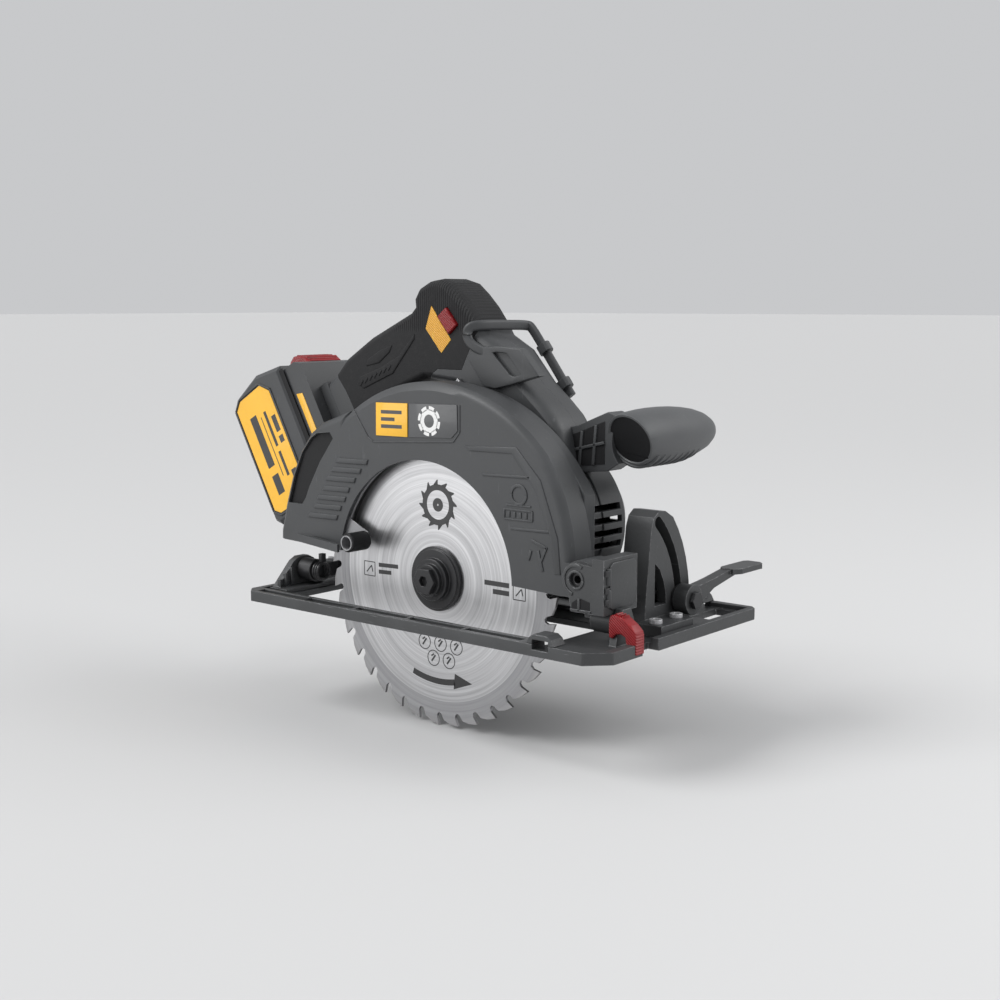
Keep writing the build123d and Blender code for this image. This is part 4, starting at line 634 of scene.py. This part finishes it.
# %% Blade marks
BLADE_FACE_Y = -0.9
SAW_MARK_AT = (0.4, 69.4)
MARK_TEETH = 12
sweep = band(62.6, 66.4, 251, 282, 20)
tip = [(13.6, -33.6), (27.6, -37.9), (12.6, -43.6)]
symbols = []
for cx, cz in ((-11.3, -16.9), (1.9, -16.6), (14.9, -16.9), (-3.9, -26.4), (8.8, -26.4)):
    symbols += full_ring(4.5, 5.1, (cx, cz))
    symbols += [bar(cx - 1.6, cz - 2.2, cx + 1.6, cz + 2.0, 1.2),
                bar(cx - 1.8, cz + 1.2, cx + 0.4, cz + 2.6, 1.0)]
for x0, x1 in ((-63.2, -53.8), (59.6, 68.8)):
    symbols += frame_bars(x0, 18.8, x1, 27.8, 0.6)
    symbols += [bar(x0 + 2, 21, x1 - 3, 25.5, 0.8), bar(x1 - 3, 25.5, x1 - 2, 21.5, 0.8)]
mark_rows = [bar(-50.5, 26.6, -33.5, 27.2, 2.6), bar(-50.5, 22.2, -39.5, 22.6, 2.6),
             bar(37.5, 26.4, 56.5, 26.4, 3.0), bar(44.0, 21.6, 56.5, 21.6, 3.0)]
saw_mark = full_ring(9.0, 12.6, SAW_MARK_AT, 24) + full_ring(0.6, 4.2, SAW_MARK_AT)
for i in range(MARK_TEETH):
    turn = i * 360 // MARK_TEETH
    foot = arc_points(12.4, turn, turn + 18, 3, SAW_MARK_AT)
    saw_mark.append(foot + arc_points(15.4, turn + 3, turn, 1, SAW_MARK_AT))
plates("blade_marks", [sweep, tip] + symbols + mark_rows + saw_mark, BLADE_FACE_Y + 0.01, 0.06, BLACK_FILM,
       "spindle")

# %% [markdown]
# The front handle is an egg-shaped knob: a lathe profile spun round its axis. Under it, where the
# fingers close, the mould has raised ribs, so short rings are spun over part of a turn.

# %% Turned shapes
KNOB_X, KNOB_Z = 116.8, 114.2
knob_profile = [  # radius and y
    (0.0, 26.2), (11.4, 26.2), (12.4, 25.6), (13.4, 25.8), (15.0, 27.6), (16.4, 31.0), (17.4, 37.0),
    (18.1, 45.0), (18.5, 54.0), (18.5, 64.0), (18.1, 74.0), (17.2, 84.0), (15.7, 94.0), (13.4, 103.0),
    (10.2, 110.5), (6.2, 115.6), (2.6, 117.6), (0.0, 118.0),
]


def lathe_y(profile, centre, squeeze, steps=64):
    """Closed solid of (radius, y) points turned round an axis along Y and flattened in height."""
    shape = bmesh.new()
    points = [shape.verts.new((radius * MM, y * MM, 0)) for radius, y in profile]
    edges = [shape.edges.new(pair) for pair in zip(points, points[1:])]
    bmesh.ops.spin(shape, geom=points + edges, cent=(0, 0, 0), axis=(0, 1, 0), angle=math.tau, steps=steps,
                   use_merge=True)
    bmesh.ops.remove_doubles(shape, verts=shape.verts[:], dist=SAME_POINT)
    bmesh.ops.recalc_face_normals(shape, faces=shape.faces[:])
    bmesh.ops.scale(shape, verts=shape.verts[:], vec=(1, 1, squeeze))
    bmesh.ops.translate(shape, verts=shape.verts[:], vec=(centre[0] * MM, 0, centre[1] * MM))
    return shape


def part_ring(centre, y, big, small, start, end, steps=22):
    """Thin round bar bent round an axis along Y, over part of a turn."""
    shape = bmesh.new()
    bmesh.ops.create_circle(shape, cap_ends=True, radius=small * MM, segments=10)
    first = math.radians(start)
    place = Matrix.Rotation(-first, 4, "Y") @ Matrix.Translation((big * MM, 0, 0))
    bmesh.ops.transform(shape, matrix=place, verts=shape.verts[:])
    face = shape.faces[:]
    bmesh.ops.spin(shape, geom=face + shape.edges[:] + shape.verts[:], cent=(0, 0, 0), axis=(0, -1, 0),
                   angle=math.radians(end - start), steps=steps, use_merge=False)
    bmesh.ops.remove_doubles(shape, verts=shape.verts[:], dist=SAME_POINT)
    bmesh.ops.recalc_face_normals(shape, faces=shape.faces[:])
    bmesh.ops.translate(shape, verts=shape.verts[:], vec=(centre[0] * MM, y * MM, centre[1] * MM))
    return shape


# %% Front knob
KNOB_SQUEEZE = 0.9
CUT_Y = 34.0  # where the slanted cut meets the knob's axis
egg = lathe_y(knob_profile, (KNOB_X, KNOB_Z), KNOB_SQUEEZE)
cut_at = Vector((KNOB_X * MM, CUT_Y * MM, KNOB_Z * MM))
cut_way = Vector((-0.15, -0.90, -0.36)).normalized()
cut = bmesh.ops.bisect_plane(egg, geom=egg.verts[:] + egg.edges[:] + egg.faces[:], dist=1e-7,
                             plane_co=cut_at, plane_no=cut_way, clear_outer=True)["geom_cut"]
rim = [item for item in cut if isinstance(item, bmesh.types.BMEdge)]
bmesh.ops.contextual_create(egg, geom=rim)
bmesh.ops.recalc_face_normals(egg, faces=egg.faces[:])
bmesh.ops.bevel(egg, geom=rim, offset=1.6 * MM, segments=3, profile=0.5, affect="EDGES", material=-1,
                offset_type="OFFSET", clamp_overlap=True)
cap = [max(egg.faces, key=lambda face: face.calc_area())]
bmesh.ops.inset_region(egg, faces=cap, thickness=1.2 * MM, depth=0)
bmesh.ops.inset_region(egg, faces=cap, thickness=0.4 * MM, depth=-0.7 * MM)
cap[0].material_index = 1
knob = new_object("front_knob_egg", egg, KNOB_PLASTIC, "saw")
knob.data.materials.append(BLACK_PLASTIC)
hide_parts("front_knob")
print("knob", len(knob.data.polygons), "faces")

# %% Finger ribs under the knob
RIB_PITCH = 6.4
RIB_START, RIB_END = 218, 325  # degrees, so the ribs lie under the knob
rib_rows = [(42.0 + RIB_PITCH * i, 17.2 - 0.045 * max(0, i - 4) ** 2 * (i - 3)) for i in range(10)]
ribs = [part_ring((KNOB_X, KNOB_Z + 0.6), y, big, 1.3, RIB_START, RIB_END) for y, big in rib_rows]
new_object("front_knob_ribs", joined(ribs), KNOB_PLASTIC, "saw")
print("knob with", len(ribs), "ribs")

# %% [markdown]
# The knob's arm is a hollow moulding stiffened by a lattice of ribs. The shade in the hollow is
# painted: a black plate a quarter of a millimetre proud of the arm's side stands for it, and the
# ribs stand on it, because the arm's solid has no pocket of its own.

# %% Lattice of the knob's arm
# The first outline is painted shade: a black plate where the arm's hollow would lie in shadow.
arm_hollow_shade = [(74, 114), (79, 115.6), (98, 123), (98, 98), (82, 96), (76, 99.5)]
arm_ribs = [bar(80, 96.5, 82, 116.5, 1.8), bar(90, 97.2, 92, 120.5, 1.8), bar(75, 105, 98, 110.6, 1.8)]
for side, (face_y, way) in {"near": (36.0, 1), "far": (50.0, -1)}.items():
    plates("arm_hollow_shade_" + side, [arm_hollow_shade], face_y, 0.25 * way, BLACK_PLASTIC, "saw")
    plates("arm_ribs_" + side, arm_ribs, face_y, 1.3 * way, DARK_PLASTIC, "saw", 0.4)

# %% [markdown]
# The rafter hook is one bar, bent cold: a loop in front of the neck, a straight run across it
# and a long leg down its far side, where it is thicker. A curve with a rounded flat section is
# the plain way to bend a bar; it is made a mesh, because a mesh is what rides on the hook's body.

# %% Rafter hook
def bent_bar(name, points, half_width, rounding, material, body):
    """Bar along a smooth line through the room between points, (x, y, z) in millimetres."""
    line = bpy.data.curves.new(name + "_line", "CURVE")
    line.dimensions = "3D"
    line.twist_mode = "Z_UP"
    line.extrude = half_width * MM
    line.bevel_depth = rounding * MM
    line.bevel_resolution = 4
    line.use_fill_caps = True
    line.resolution_u = 10
    spline = line.splines.new("NURBS")
    spline.points.add(len(points) - 1)
    for point, place in zip(spline.points, points):
        point.co = (place[0] * MM, place[1] * MM, place[2] * MM, 1.0)
    spline.order_u = 3
    spline.use_endpoint_u = True
    holder = bpy.data.objects.new(name + "_line", line)
    shape = bmesh.new()
    mesh = bpy.data.meshes.new_from_object(holder)
    shape.from_mesh(mesh)
    bpy.data.objects.remove(holder)
    bpy.data.meshes.remove(mesh)
    bmesh.ops.remove_doubles(shape, verts=shape.verts[:], dist=SAME_POINT)
    bmesh.ops.recalc_face_normals(shape, faces=shape.faces[:])
    made = new_object(name, shape, material, body)
    print(name, len(made.data.polygons), "faces")
    return made


LEG_Y = 63.5
hook_points = [(20, 23.2, 161), (12, 21.5, 163.5), (5.5, 20.5, 169), (6.5, 20.5, 176.5), (12, 26, 177.6),
               (15.5, 40, 177.6), (17.5, 56, 177.4), (18.5, LEG_Y, 177), (21.5, LEG_Y, 176),
               (36, LEG_Y, 157), (53, LEG_Y, 134.5)]
leg_points = [(24, LEG_Y, 172.8), (37, LEG_Y, 155.6), (51, LEG_Y, 137.2)]
hook = bent_bar("rafter_hook_bar", hook_points, 1.4, 1.7, DARK_PLASTIC, "rafter_hook")
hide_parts("rafter_hook")
bent_bar("rafter_hook_leg", leg_points, 1.9, 1.2, DARK_PLASTIC, "rafter_hook")

# %% [markdown]
# The handle's neck wears a moulded collar with a pocket. A collar with a pocket is a ring of
# faces between two outlines, which bridge_loops makes, pulled out and closed by a floor.

# %% Neck collar
def framed_plate(outer, inner, y, thickness, floor_depth, rim):
    """Plate with a pocket: outer and inner are outlines, floor_depth is measured from the face."""
    shape = bmesh.new()
    loops = []
    for outline in (outer, inner):
        corners = [shape.verts.new((x * MM, y * MM, z * MM)) for x, z in outline]
        loops.append([shape.edges.new((corners[i - 1], corners[i])) for i in range(len(corners))])
    ring = bmesh.ops.bridge_loops(shape, edges=loops[0] + loops[1])["faces"]
    pulled = bmesh.ops.extrude_face_region(shape, geom=ring)["geom"]
    moved = [item for item in pulled if isinstance(item, bmesh.types.BMVert)]
    bmesh.ops.translate(shape, verts=moved, vec=(0, -thickness * MM, 0))
    bmesh.ops.recalc_face_normals(shape, faces=shape.faces[:])
    top = [e for e in shape.edges if all(v in moved for v in e.verts) and e.calc_face_angle(0.0) > 1.0]
    bmesh.ops.bevel(shape, geom=top, offset=rim * MM, segments=3, profile=0.5, affect="EDGES", material=-1,
                    offset_type="OFFSET", clamp_overlap=True)
    return joined([shape, plate_shape(inner, y, thickness - floor_depth)])


collar_outer = [(5.1, 158.8), (12.5, 164.6), (30.0, 165.2), (46.5, 164.0), (61.0, 148.5), (39.5, 142.6),
                (27.0, 139.8), (17.9, 141.0), (7.0, 155.4)]
collar_inner = [(25.4, 161.2), (28.0, 161.6), (33.0, 161.4), (36.2, 161.0), (47.2, 148.8), (43.0, 147.8),
                (40.8, 147.6), (38.6, 148.6), (27.0, 159.4)]
collar_shape = framed_plate(collar_outer, collar_inner, 27.0, 6.0, 2.6, 1.5)
collar = new_object("neck_collar", collar_shape, DARK_PLASTIC, "saw")
print("neck collar", len(collar.data.polygons), "faces")

# %% [markdown]
# The rubber on the grip has moulded wedges that guide the palm, and a raised strip near the
# battery. They are shallow plates of the same rubber with well-rounded rims.

# %% Grip pads
GRIP_NEAR_Y, GRIP_FAR_Y = 24.4, 59.6
wedge = [(-84.4, 150.2), (-83.0, 154.6), (-72.0, 160.6), (-60.6, 164.4), (-63.0, 159.6), (-72.3, 152.6)]
strip = [(-60.3, 146.0), (-41.0, 168.4), (-41.4, 171.6), (-55.3, 157.4), (-72.0, 149.4), (-90.0, 143.4),
         (-93.0, 138.6), (-86.6, 135.4), (-74.0, 140.6)]
plates("grip_pads_near", [wedge, strip], GRIP_NEAR_Y, 1.0, GRIP_RUBBER, "saw", 0.8)
plates("grip_pads_far", [wedge, strip], GRIP_FAR_Y, -1.0, GRIP_RUBBER, "saw", 0.8)
notches = []
for i in range(7):
    x, z = -89.5 + 4.2 * i, 137.6 + 1.75 * i
    notches.append(bar(x, z, x + 2.5, z + 3.4, 1.3))
plates("grip_strip_marks", notches, 23.5, 0.5, GRIP_RUBBER, "saw", 0.3)

# %% [markdown]
# The battery's sides carry a yellow film with plain bars, a frame and a charge symbol, and a
# yellow stripe runs down its head. Its own leaning axes are down, along the slide, and across.

# %% The battery's own axes
LEAN = math.radians(60.6)


def pack_xz(down, across):
    """x and z of a place on the battery's side."""
    x = down * math.cos(LEAN) + across * math.sin(LEAN)
    return (x, -down * math.sin(LEAN) + across * math.cos(LEAN))


def pack_outline(points):
    return [pack_xz(down, across) for down, across in points]


def pack_bar(down0, across0, down1, across1, width):
    return bar(*pack_xz(down0, across0), *pack_xz(down1, across1), width)


# %% Battery labels
CASE_NEAR_Y, CASE_FAR_Y = 12.0, 84.0
LABEL_THICKNESS = 0.4
label_marks = [
    pack_bar(-188, -104, -150, -104, 7.0), pack_bar(-144, -104, -130, -104, 7.0),
    pack_bar(-184, -96.5, -140, -96.5, 0.7), pack_bar(-186, -91.5, -160, -91.5, 2.6),
    pack_bar(-156, -91.5, -138, -91.5, 2.6), pack_bar(-180, -84.8, -168, -84.8, 4.4),
    pack_bar(-165, -84.8, -160, -84.8, 4.4), pack_bar(-140, -85.0, -133, -85.0, 5.0),
    pack_bar(-132.2, -86.2, -132.2, -83.8, 1.2),
]
label_edge = [(-205.2, -87.6), (-196.8, -78.6), (-127.4, -78.6), (-117.6, -89.6), (-117.6, -112.6),
              (-122.6, -118.4), (-198.8, -118.4), (-204.6, -111.0)]
label_sides = zip(label_edge, label_edge[1:] + label_edge[:1])
label_rim = [pack_bar(*first, *second, 1.3) for first, second in label_sides]
label_faces = {"near": (CASE_NEAR_Y - LABEL_THICKNESS, 1), "far": (CASE_FAR_Y + LABEL_THICKNESS, -1)}
for side, (face_y, way) in label_faces.items():
    plates("label_marks_" + side, label_marks, face_y, 0.06 * way, BLACK_FILM, "battery")
    plates("label_rim_" + side, label_rim, face_y + LABEL_THICKNESS * way, 0.9 * way, DARK_PLASTIC,
           "battery", 0.3)

# %% Battery seam and stripe
seam = pack_outline([(-204, -67), (-204, -62), (-114, -62), (-114, -67)])
plates("pack_seam_near", [seam], 13.8, 0.3, BLACK_PLASTIC, "battery")
plates("pack_seam_far", [seam], 82.2, -0.3, BLACK_PLASTIC, "battery")
stripe = pack_outline([(-183, -59.5), (-181, -54), (-128, -54), (-124, -59.5)])
plates("head_stripe_near", [stripe], 15.0, 0.35, YELLOW_FILM, "battery", 0.15)
plates("head_stripe_far", [stripe], 81.0, -0.35, YELLOW_FILM, "battery", 0.15)

# %% [markdown]
# The latch is a thumb pad that stands a few millimetres out of the pack's head. It is one slab
# with a flat top and a slope in front, whose rims are bevelled, and ridges cross both so that
# the thumb doesn't slip. It is placed from the CAD latch but is longer, so when it is pressed its
# ends sink into the head's walls.

# %% Latch pad
latch_low, latch_high = (Vector(corner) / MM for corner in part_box("pack_latch"))
LATCH_RISE = 0.8
SLOPE_RUN, SLOPE_FALL = 12.0, 8.5  # how far the pad's front slope reaches and drops
pad_start = latch_low.x - 9.0
pad_crest = pad_start + 13.0
pad_top = latch_high.z + LATCH_RISE
pad_foot = pad_top - SLOPE_FALL
pad_outline = [(pad_start, pad_top - 9.0), (pad_start + 0.6, pad_top - 3.0), (pad_start + 3.0, pad_top),
               (pad_crest, pad_top), (pad_crest + SLOPE_RUN, pad_foot), (pad_crest + SLOPE_RUN, pad_foot - 3.5)]
pad = plate_shape(pad_outline, latch_high.y, latch_high.y - latch_low.y)
sides = [edge for edge in pad.edges if abs(edge.verts[0].co.y - edge.verts[1].co.y) < SAME_POINT
         and min(vert.co.z for vert in edge.verts) > (pad_top - 8.9) * MM]
bmesh.ops.bevel(pad, geom=sides, offset=2.4 * MM, segments=2, profile=0.5, affect="EDGES", material=-1,
                offset_type="OFFSET", clamp_overlap=True)


def pad_ridge(foot, along):
    """Low ridge across the pad: foot is where it starts, and along points down the outline."""
    foot, along = Vector(foot), Vector(along).normalized()
    out = Vector((-along.y, along.x))
    corners = [foot - 0.3 * out, foot + 0.4 * along + 0.8 * out,
               foot + 1.8 * along + 0.8 * out, foot + 2.4 * along - 0.3 * out]
    outline = [tuple(corner) for corner in corners]
    return plate_shape(outline, latch_high.y - 3, latch_high.y - latch_low.y - 6, 0.2)


pad_ridges = [pad_ridge((pad_start + 4.0 + 4.2 * i, pad_top), (1, 0)) for i in range(2)]
for share in (0.0, 0.27, 0.54):
    foot = (pad_crest + SLOPE_RUN * share, pad_top - SLOPE_FALL * share)
    pad_ridges.append(pad_ridge(foot, (SLOPE_RUN, -SLOPE_FALL)))
latch = new_object("latch_pad", joined([pad] + pad_ridges), RED_PLASTIC, "battery_latch")
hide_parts("pack_latch")
print("latch pad", [round(v, 1) for v in latch_low], [round(v, 1) for v in latch_high])

# %% [markdown]
# A coil spring sits on the rear tilt pin beside the hub, under a small tab, and the front box has
# two short knuckle pins. The spring's turns are separate rings, spun whole.

# %% Rear spring
def ring_x(x, y, z, big, small, steps=28):
    """Torus round an axis along X."""
    shape = bmesh.new()
    bmesh.ops.create_circle(shape, cap_ends=False, radius=small * MM, segments=10)
    quarter = Matrix.Rotation(math.radians(90), 3, "X")
    bmesh.ops.rotate(shape, cent=(0, 0, 0), matrix=quarter, verts=shape.verts[:])
    bmesh.ops.translate(shape, verts=shape.verts[:], vec=(0, 0, big * MM))
    bmesh.ops.spin(shape, geom=shape.verts[:] + shape.edges[:], cent=(0, 0, 0), axis=(1, 0, 0), angle=math.tau,
                   steps=steps, use_merge=True)
    bmesh.ops.remove_doubles(shape, verts=shape.verts[:], dist=SAME_POINT)
    bmesh.ops.recalc_face_normals(shape, faces=shape.faces[:])
    bmesh.ops.translate(shape, verts=shape.verts[:], vec=(x * MM, y * MM, z * MM))
    return shape


TILT_AXIS_Z = 16.0
coils = [ring_x(-106.6 + 2.1 * i, 0, TILT_AXIS_Z, 5.4, 0.95) for i in range(3)]
new_object("rear_pin_spring", joined(coils), BLACK_OXIDE, "shoe")
tab = plate_shape([(-106, 22), (-106, 27.5), (-103, 27.5), (-103, 22)], 3.0, 4.0, 0.4)
new_object("rear_tab", tab, BLACK_OXIDE, "bevel_frame")
print("spring with", len(coils), "turns")

# %% Front knuckles
BRACKET_FRONT_X = 134.0
BRACKET_NEAR_Y = -14.0
KNUCKLE_R = 1.9 * MM
knuckles = []
for z in (30.5, 42.5):
    shape = bmesh.new()
    bmesh.ops.create_cone(shape, cap_ends=True, segments=24, radius1=KNUCKLE_R, radius2=KNUCKLE_R,
                          depth=9.5 * MM)
    ends = [edge for edge in shape.edges if edge.calc_face_angle(0.0) > 1.0]
    bmesh.ops.bevel(shape, geom=ends, offset=0.4 * MM, segments=2, profile=0.5, affect="EDGES", material=-1,
                    offset_type="OFFSET", clamp_overlap=True)
    bmesh.ops.translate(shape, verts=shape.verts[:], vec=(BRACKET_FRONT_X * MM, -9.8 * MM, z * MM))
    knuckles.append(shape)
new_object("front_knuckles", joined(knuckles), CAST_COAT, "bevel_frame")
print(len(knuckles), "knuckles")

# %% [markdown]
# The cut-line pointer is a red finger that hooks over the shoe's front edge. It is a thick plate
# of one outline with well-rounded rims, and a few ridges cross its sloping top.

# %% Cut-line pointer
finger = [(135.2, 9.0), (135.0, 18.6), (136.2, 21.4), (138.5, 22.2), (144.0, 21.0), (149.6, 17.4),
          (152.9, 14.2), (153.6, 12.0), (153.6, 1.6), (150.6, 1.6), (146.6, 7.4), (146.0, 10.4),
          (143.2, 11.8), (140.0, 11.2), (137.6, 8.6)]
finger_shape = plate_shape(finger, -2.6, 8.2)
rims = [edge for edge in finger_shape.edges if abs(edge.verts[0].co.y - edge.verts[1].co.y) < SAME_POINT]
bmesh.ops.bevel(finger_shape, geom=rims, offset=0.9 * MM, segments=3, profile=0.5, affect="EDGES", material=-1,
                offset_type="OFFSET", clamp_overlap=True)
grips = []
for i in range(3):
    x, z = 139.0 + 2.1 * i, 22.2 - 0.46 * i
    grips.append(plate_shape(bar(x, z, x + 1.2, z + 0.2, 1.0), -4.0, 5.4, 0.15))
pointer = new_object("cut_line_finger", joined([finger_shape] + grips), RED_PLASTIC, "shoe")
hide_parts("cut_line_pointer")
print("pointer", len(pointer.data.polygons), "faces")

# %% [markdown]
# The front bracket is a pressure casting: thin walls, pockets between ribs, and a raised pad where
# its front is machined. Pads and ribs are plates on its faces; the pocket's shade is a painted black plate.

# %% Front bracket ribs and pads
def plates_x(name, outlines, x, thickness, material, body, rim=0.0):
    """Plates whose outlines are (y, z) on a plane across X; the outer face is at x + thickness."""
    quarter = Matrix.Rotation(math.radians(90), 3, "Z")
    shapes = []
    for outline in outlines:
        shape = plate_shape(outline, 0.0, thickness, rim)
        bmesh.ops.rotate(shape, cent=(0, 0, 0), matrix=quarter, verts=shape.verts[:])
        bmesh.ops.translate(shape, verts=shape.verts[:], vec=(x * MM, 0, 0))
        shapes.append(shape)
    made = new_object(name, joined(shapes), material, body)
    print(name, len(made.data.polygons), "faces")
    return made


DEPTH_PIN_AT = (115.0, 39.0)
pad_face = [(-9, 25), (-9, 48), (-6, 50), (14, 50), (16, 48), (16, 25), (13, 23.5), (-6, 23.5)]
plates_x("bracket_pad", [pad_face], BRACKET_FRONT_X, 0.9, CAST_COAT, "bevel_frame", 0.5)
clips = [bar(-13.2, z, -9.8, z, 3.2) for z in (28.5, 35.0, 44.5)]
plates_x("bracket_clips", clips, BRACKET_FRONT_X, 1.5, BLACK_OXIDE, "bevel_frame", 0.4)
# The pocket outline is painted shade: a black plate where the pocket between the ribs would lie in shadow.
pocket = [(112.4, 26.0), (112.0, 22.0), (124.6, 22.0), (124.6, 27.6), (119.0, 29.0), (116.0, 28.4)]
plates("bracket_pocket_shade", [pocket], BRACKET_NEAR_Y, 0.2, BLACK_PLASTIC, "bevel_frame")
side_ribs = [bar(117.4, 21.6, 117.4, 29.0, 1.6), bar(111.6, 22.2, 125.4, 22.2, 1.4)]
plates("bracket_ribs", side_ribs, BRACKET_NEAR_Y, 0.9, CAST_COAT, "bevel_frame", 0.3)
ear = [band(7.4, 9.2, 60, 255, 18, DEPTH_PIN_AT)] + full_ring(4.2, 5.6, DEPTH_PIN_AT)
plates("bracket_ear_rim", ear, BRACKET_NEAR_Y, 0.7, CAST_COAT, "bevel_frame", 0.3)

# %% [markdown]
# The tilt lever is an open casting: a flat paddle, and under it two thin struts that meet at the
# hub like a small roof truss.

# %% Lever struts
HUB_R = 67.0  # from the tilt axis to the lever's own bolt
HUB_TURN = math.radians(2)
hub_y, hub_z = HUB_R * math.cos(HUB_TURN), TILT_AXIS_Z + HUB_R * math.sin(HUB_TURN)
struts = [
    bar(hub_y + 7, hub_z - 5, hub_y + 29, hub_z + 9, 1.8),
    bar(hub_y + 8.5, hub_z + 1.5, hub_y + 20, hub_z - 2.5, 1.6),
    bar(hub_y + 19.5, hub_z - 2.5, hub_y + 30, hub_z + 9.5, 1.8),
]
plates_x("lever_struts", struts, BRACKET_FRONT_X, 3.4, CAST_COAT, "bevel_lock_lever", 0.5)

# %% [markdown]
# The floor lies just under the blade's lowest tooth, and it is wide, so that its edge is far off.

# %% Floor
FLOOR_Z = -68.6 * MM
FLOOR_HALF = 30.0
floor_shape = bmesh.new()
bmesh.ops.create_grid(floor_shape, x_segments=1, y_segments=1, size=FLOOR_HALF)
bmesh.ops.translate(floor_shape, verts=floor_shape.verts[:], vec=(0, 0, FLOOR_Z))
floor_mesh = bpy.data.meshes.new("floor")
floor_shape.to_mesh(floor_mesh)
floor_shape.free()
floor = bpy.data.objects.new("floor", floor_mesh)
bpy.context.scene.collection.objects.link(floor)
floor_finish = Finish("pale_floor", rough=0.75, specular=0.2)
floor_finish.shader.inputs["Base Color"].default_value = (0.56, 0.56, 0.56, 1.0)
floor_mesh.materials.append(floor_finish.material)
print("floor at", FLOOR_Z)

# %% [markdown]
# Two wide suns light the saw and the floor evenly: the key from the left front, so that the blade
# mirrors it, and a weaker one from behind. A lamp low at the left puts a glint on the blade, and
# one behind at the right draws the knob and the handle off the background.

# %% Lights
def soft_lamp(name, place, aim, power, size):
    """Square lamp of a size in metres at a place, turned towards aim."""
    lamp = bpy.data.lights.new(name, "AREA")
    lamp.energy = power
    lamp.size = size
    made = bpy.data.objects.new(name, lamp)
    made.location = place
    made.rotation_euler = (Vector(place) - Vector(aim)).to_track_quat("Z", "Y").to_euler()
    bpy.context.scene.collection.objects.link(made)


def soft_sun(name, place, power, spread):
    """Light from far off, alike over the whole floor; a wide spread in degrees softens shadows."""
    sun = bpy.data.lights.new(name, "SUN")
    sun.energy = power
    sun.angle = math.radians(spread)
    made = bpy.data.objects.new(name, sun)
    made.rotation_euler = Vector(place).to_track_quat("Z", "Y").to_euler()
    bpy.context.scene.collection.objects.link(made)


soft_sun("key", (-0.75, -1.0, 1.35), 2.0, 32.0)
soft_sun("back", (0.9, 1.0, 1.0), 0.7, 40.0)
soft_lamp("glint", (-1.0, -1.3, 0.35), (0.0, 0.0, 0.05), 5.0, 0.9)
soft_lamp("rim", (1.3, 0.5, 0.9), (0.05, 0.05, 0.1), 7.0, 0.7)
world = bpy.data.worlds.new("studio")
world.use_nodes = True
sky = world.node_tree.nodes["Background"]
sky.inputs["Color"].default_value = (0.93, 0.94, 0.96, 1.0)
sky.inputs["Strength"].default_value = 0.62
bpy.context.scene.world = world
bpy.context.scene.view_settings.view_transform = "Standard"
print(len(bpy.data.lights), "lights")

# %% [markdown]
# The camera stands a little above the saw, to the front and on the blade's side, as someone
# would who is about to pick it up. Two angles say which way is back from the saw to the camera.

# %% Camera
AZIMUTH = math.radians(39.834)
ELEVATION = math.radians(7.743)
LENS_LENGTH = 52.16  # millimetres, with the sensor's width
SENSOR_WIDTH = 36.0
level = math.cos(ELEVATION)
back = Vector((math.sin(AZIMUTH) * level, -math.cos(AZIMUTH) * level, math.sin(ELEVATION)))
camera_data = bpy.data.cameras.new("camera")
camera_data.lens = LENS_LENGTH
camera_data.sensor_width = SENSOR_WIDTH
camera = bpy.data.objects.new("camera", camera_data)
camera.location = (0.58745, -0.64576, 0.19084)
camera.rotation_euler = back.to_track_quat("Z", "Y").to_euler()
bpy.context.scene.collection.objects.link(camera)
bpy.context.scene.camera = camera
print("camera at", [round(place, 3) for place in camera.location])
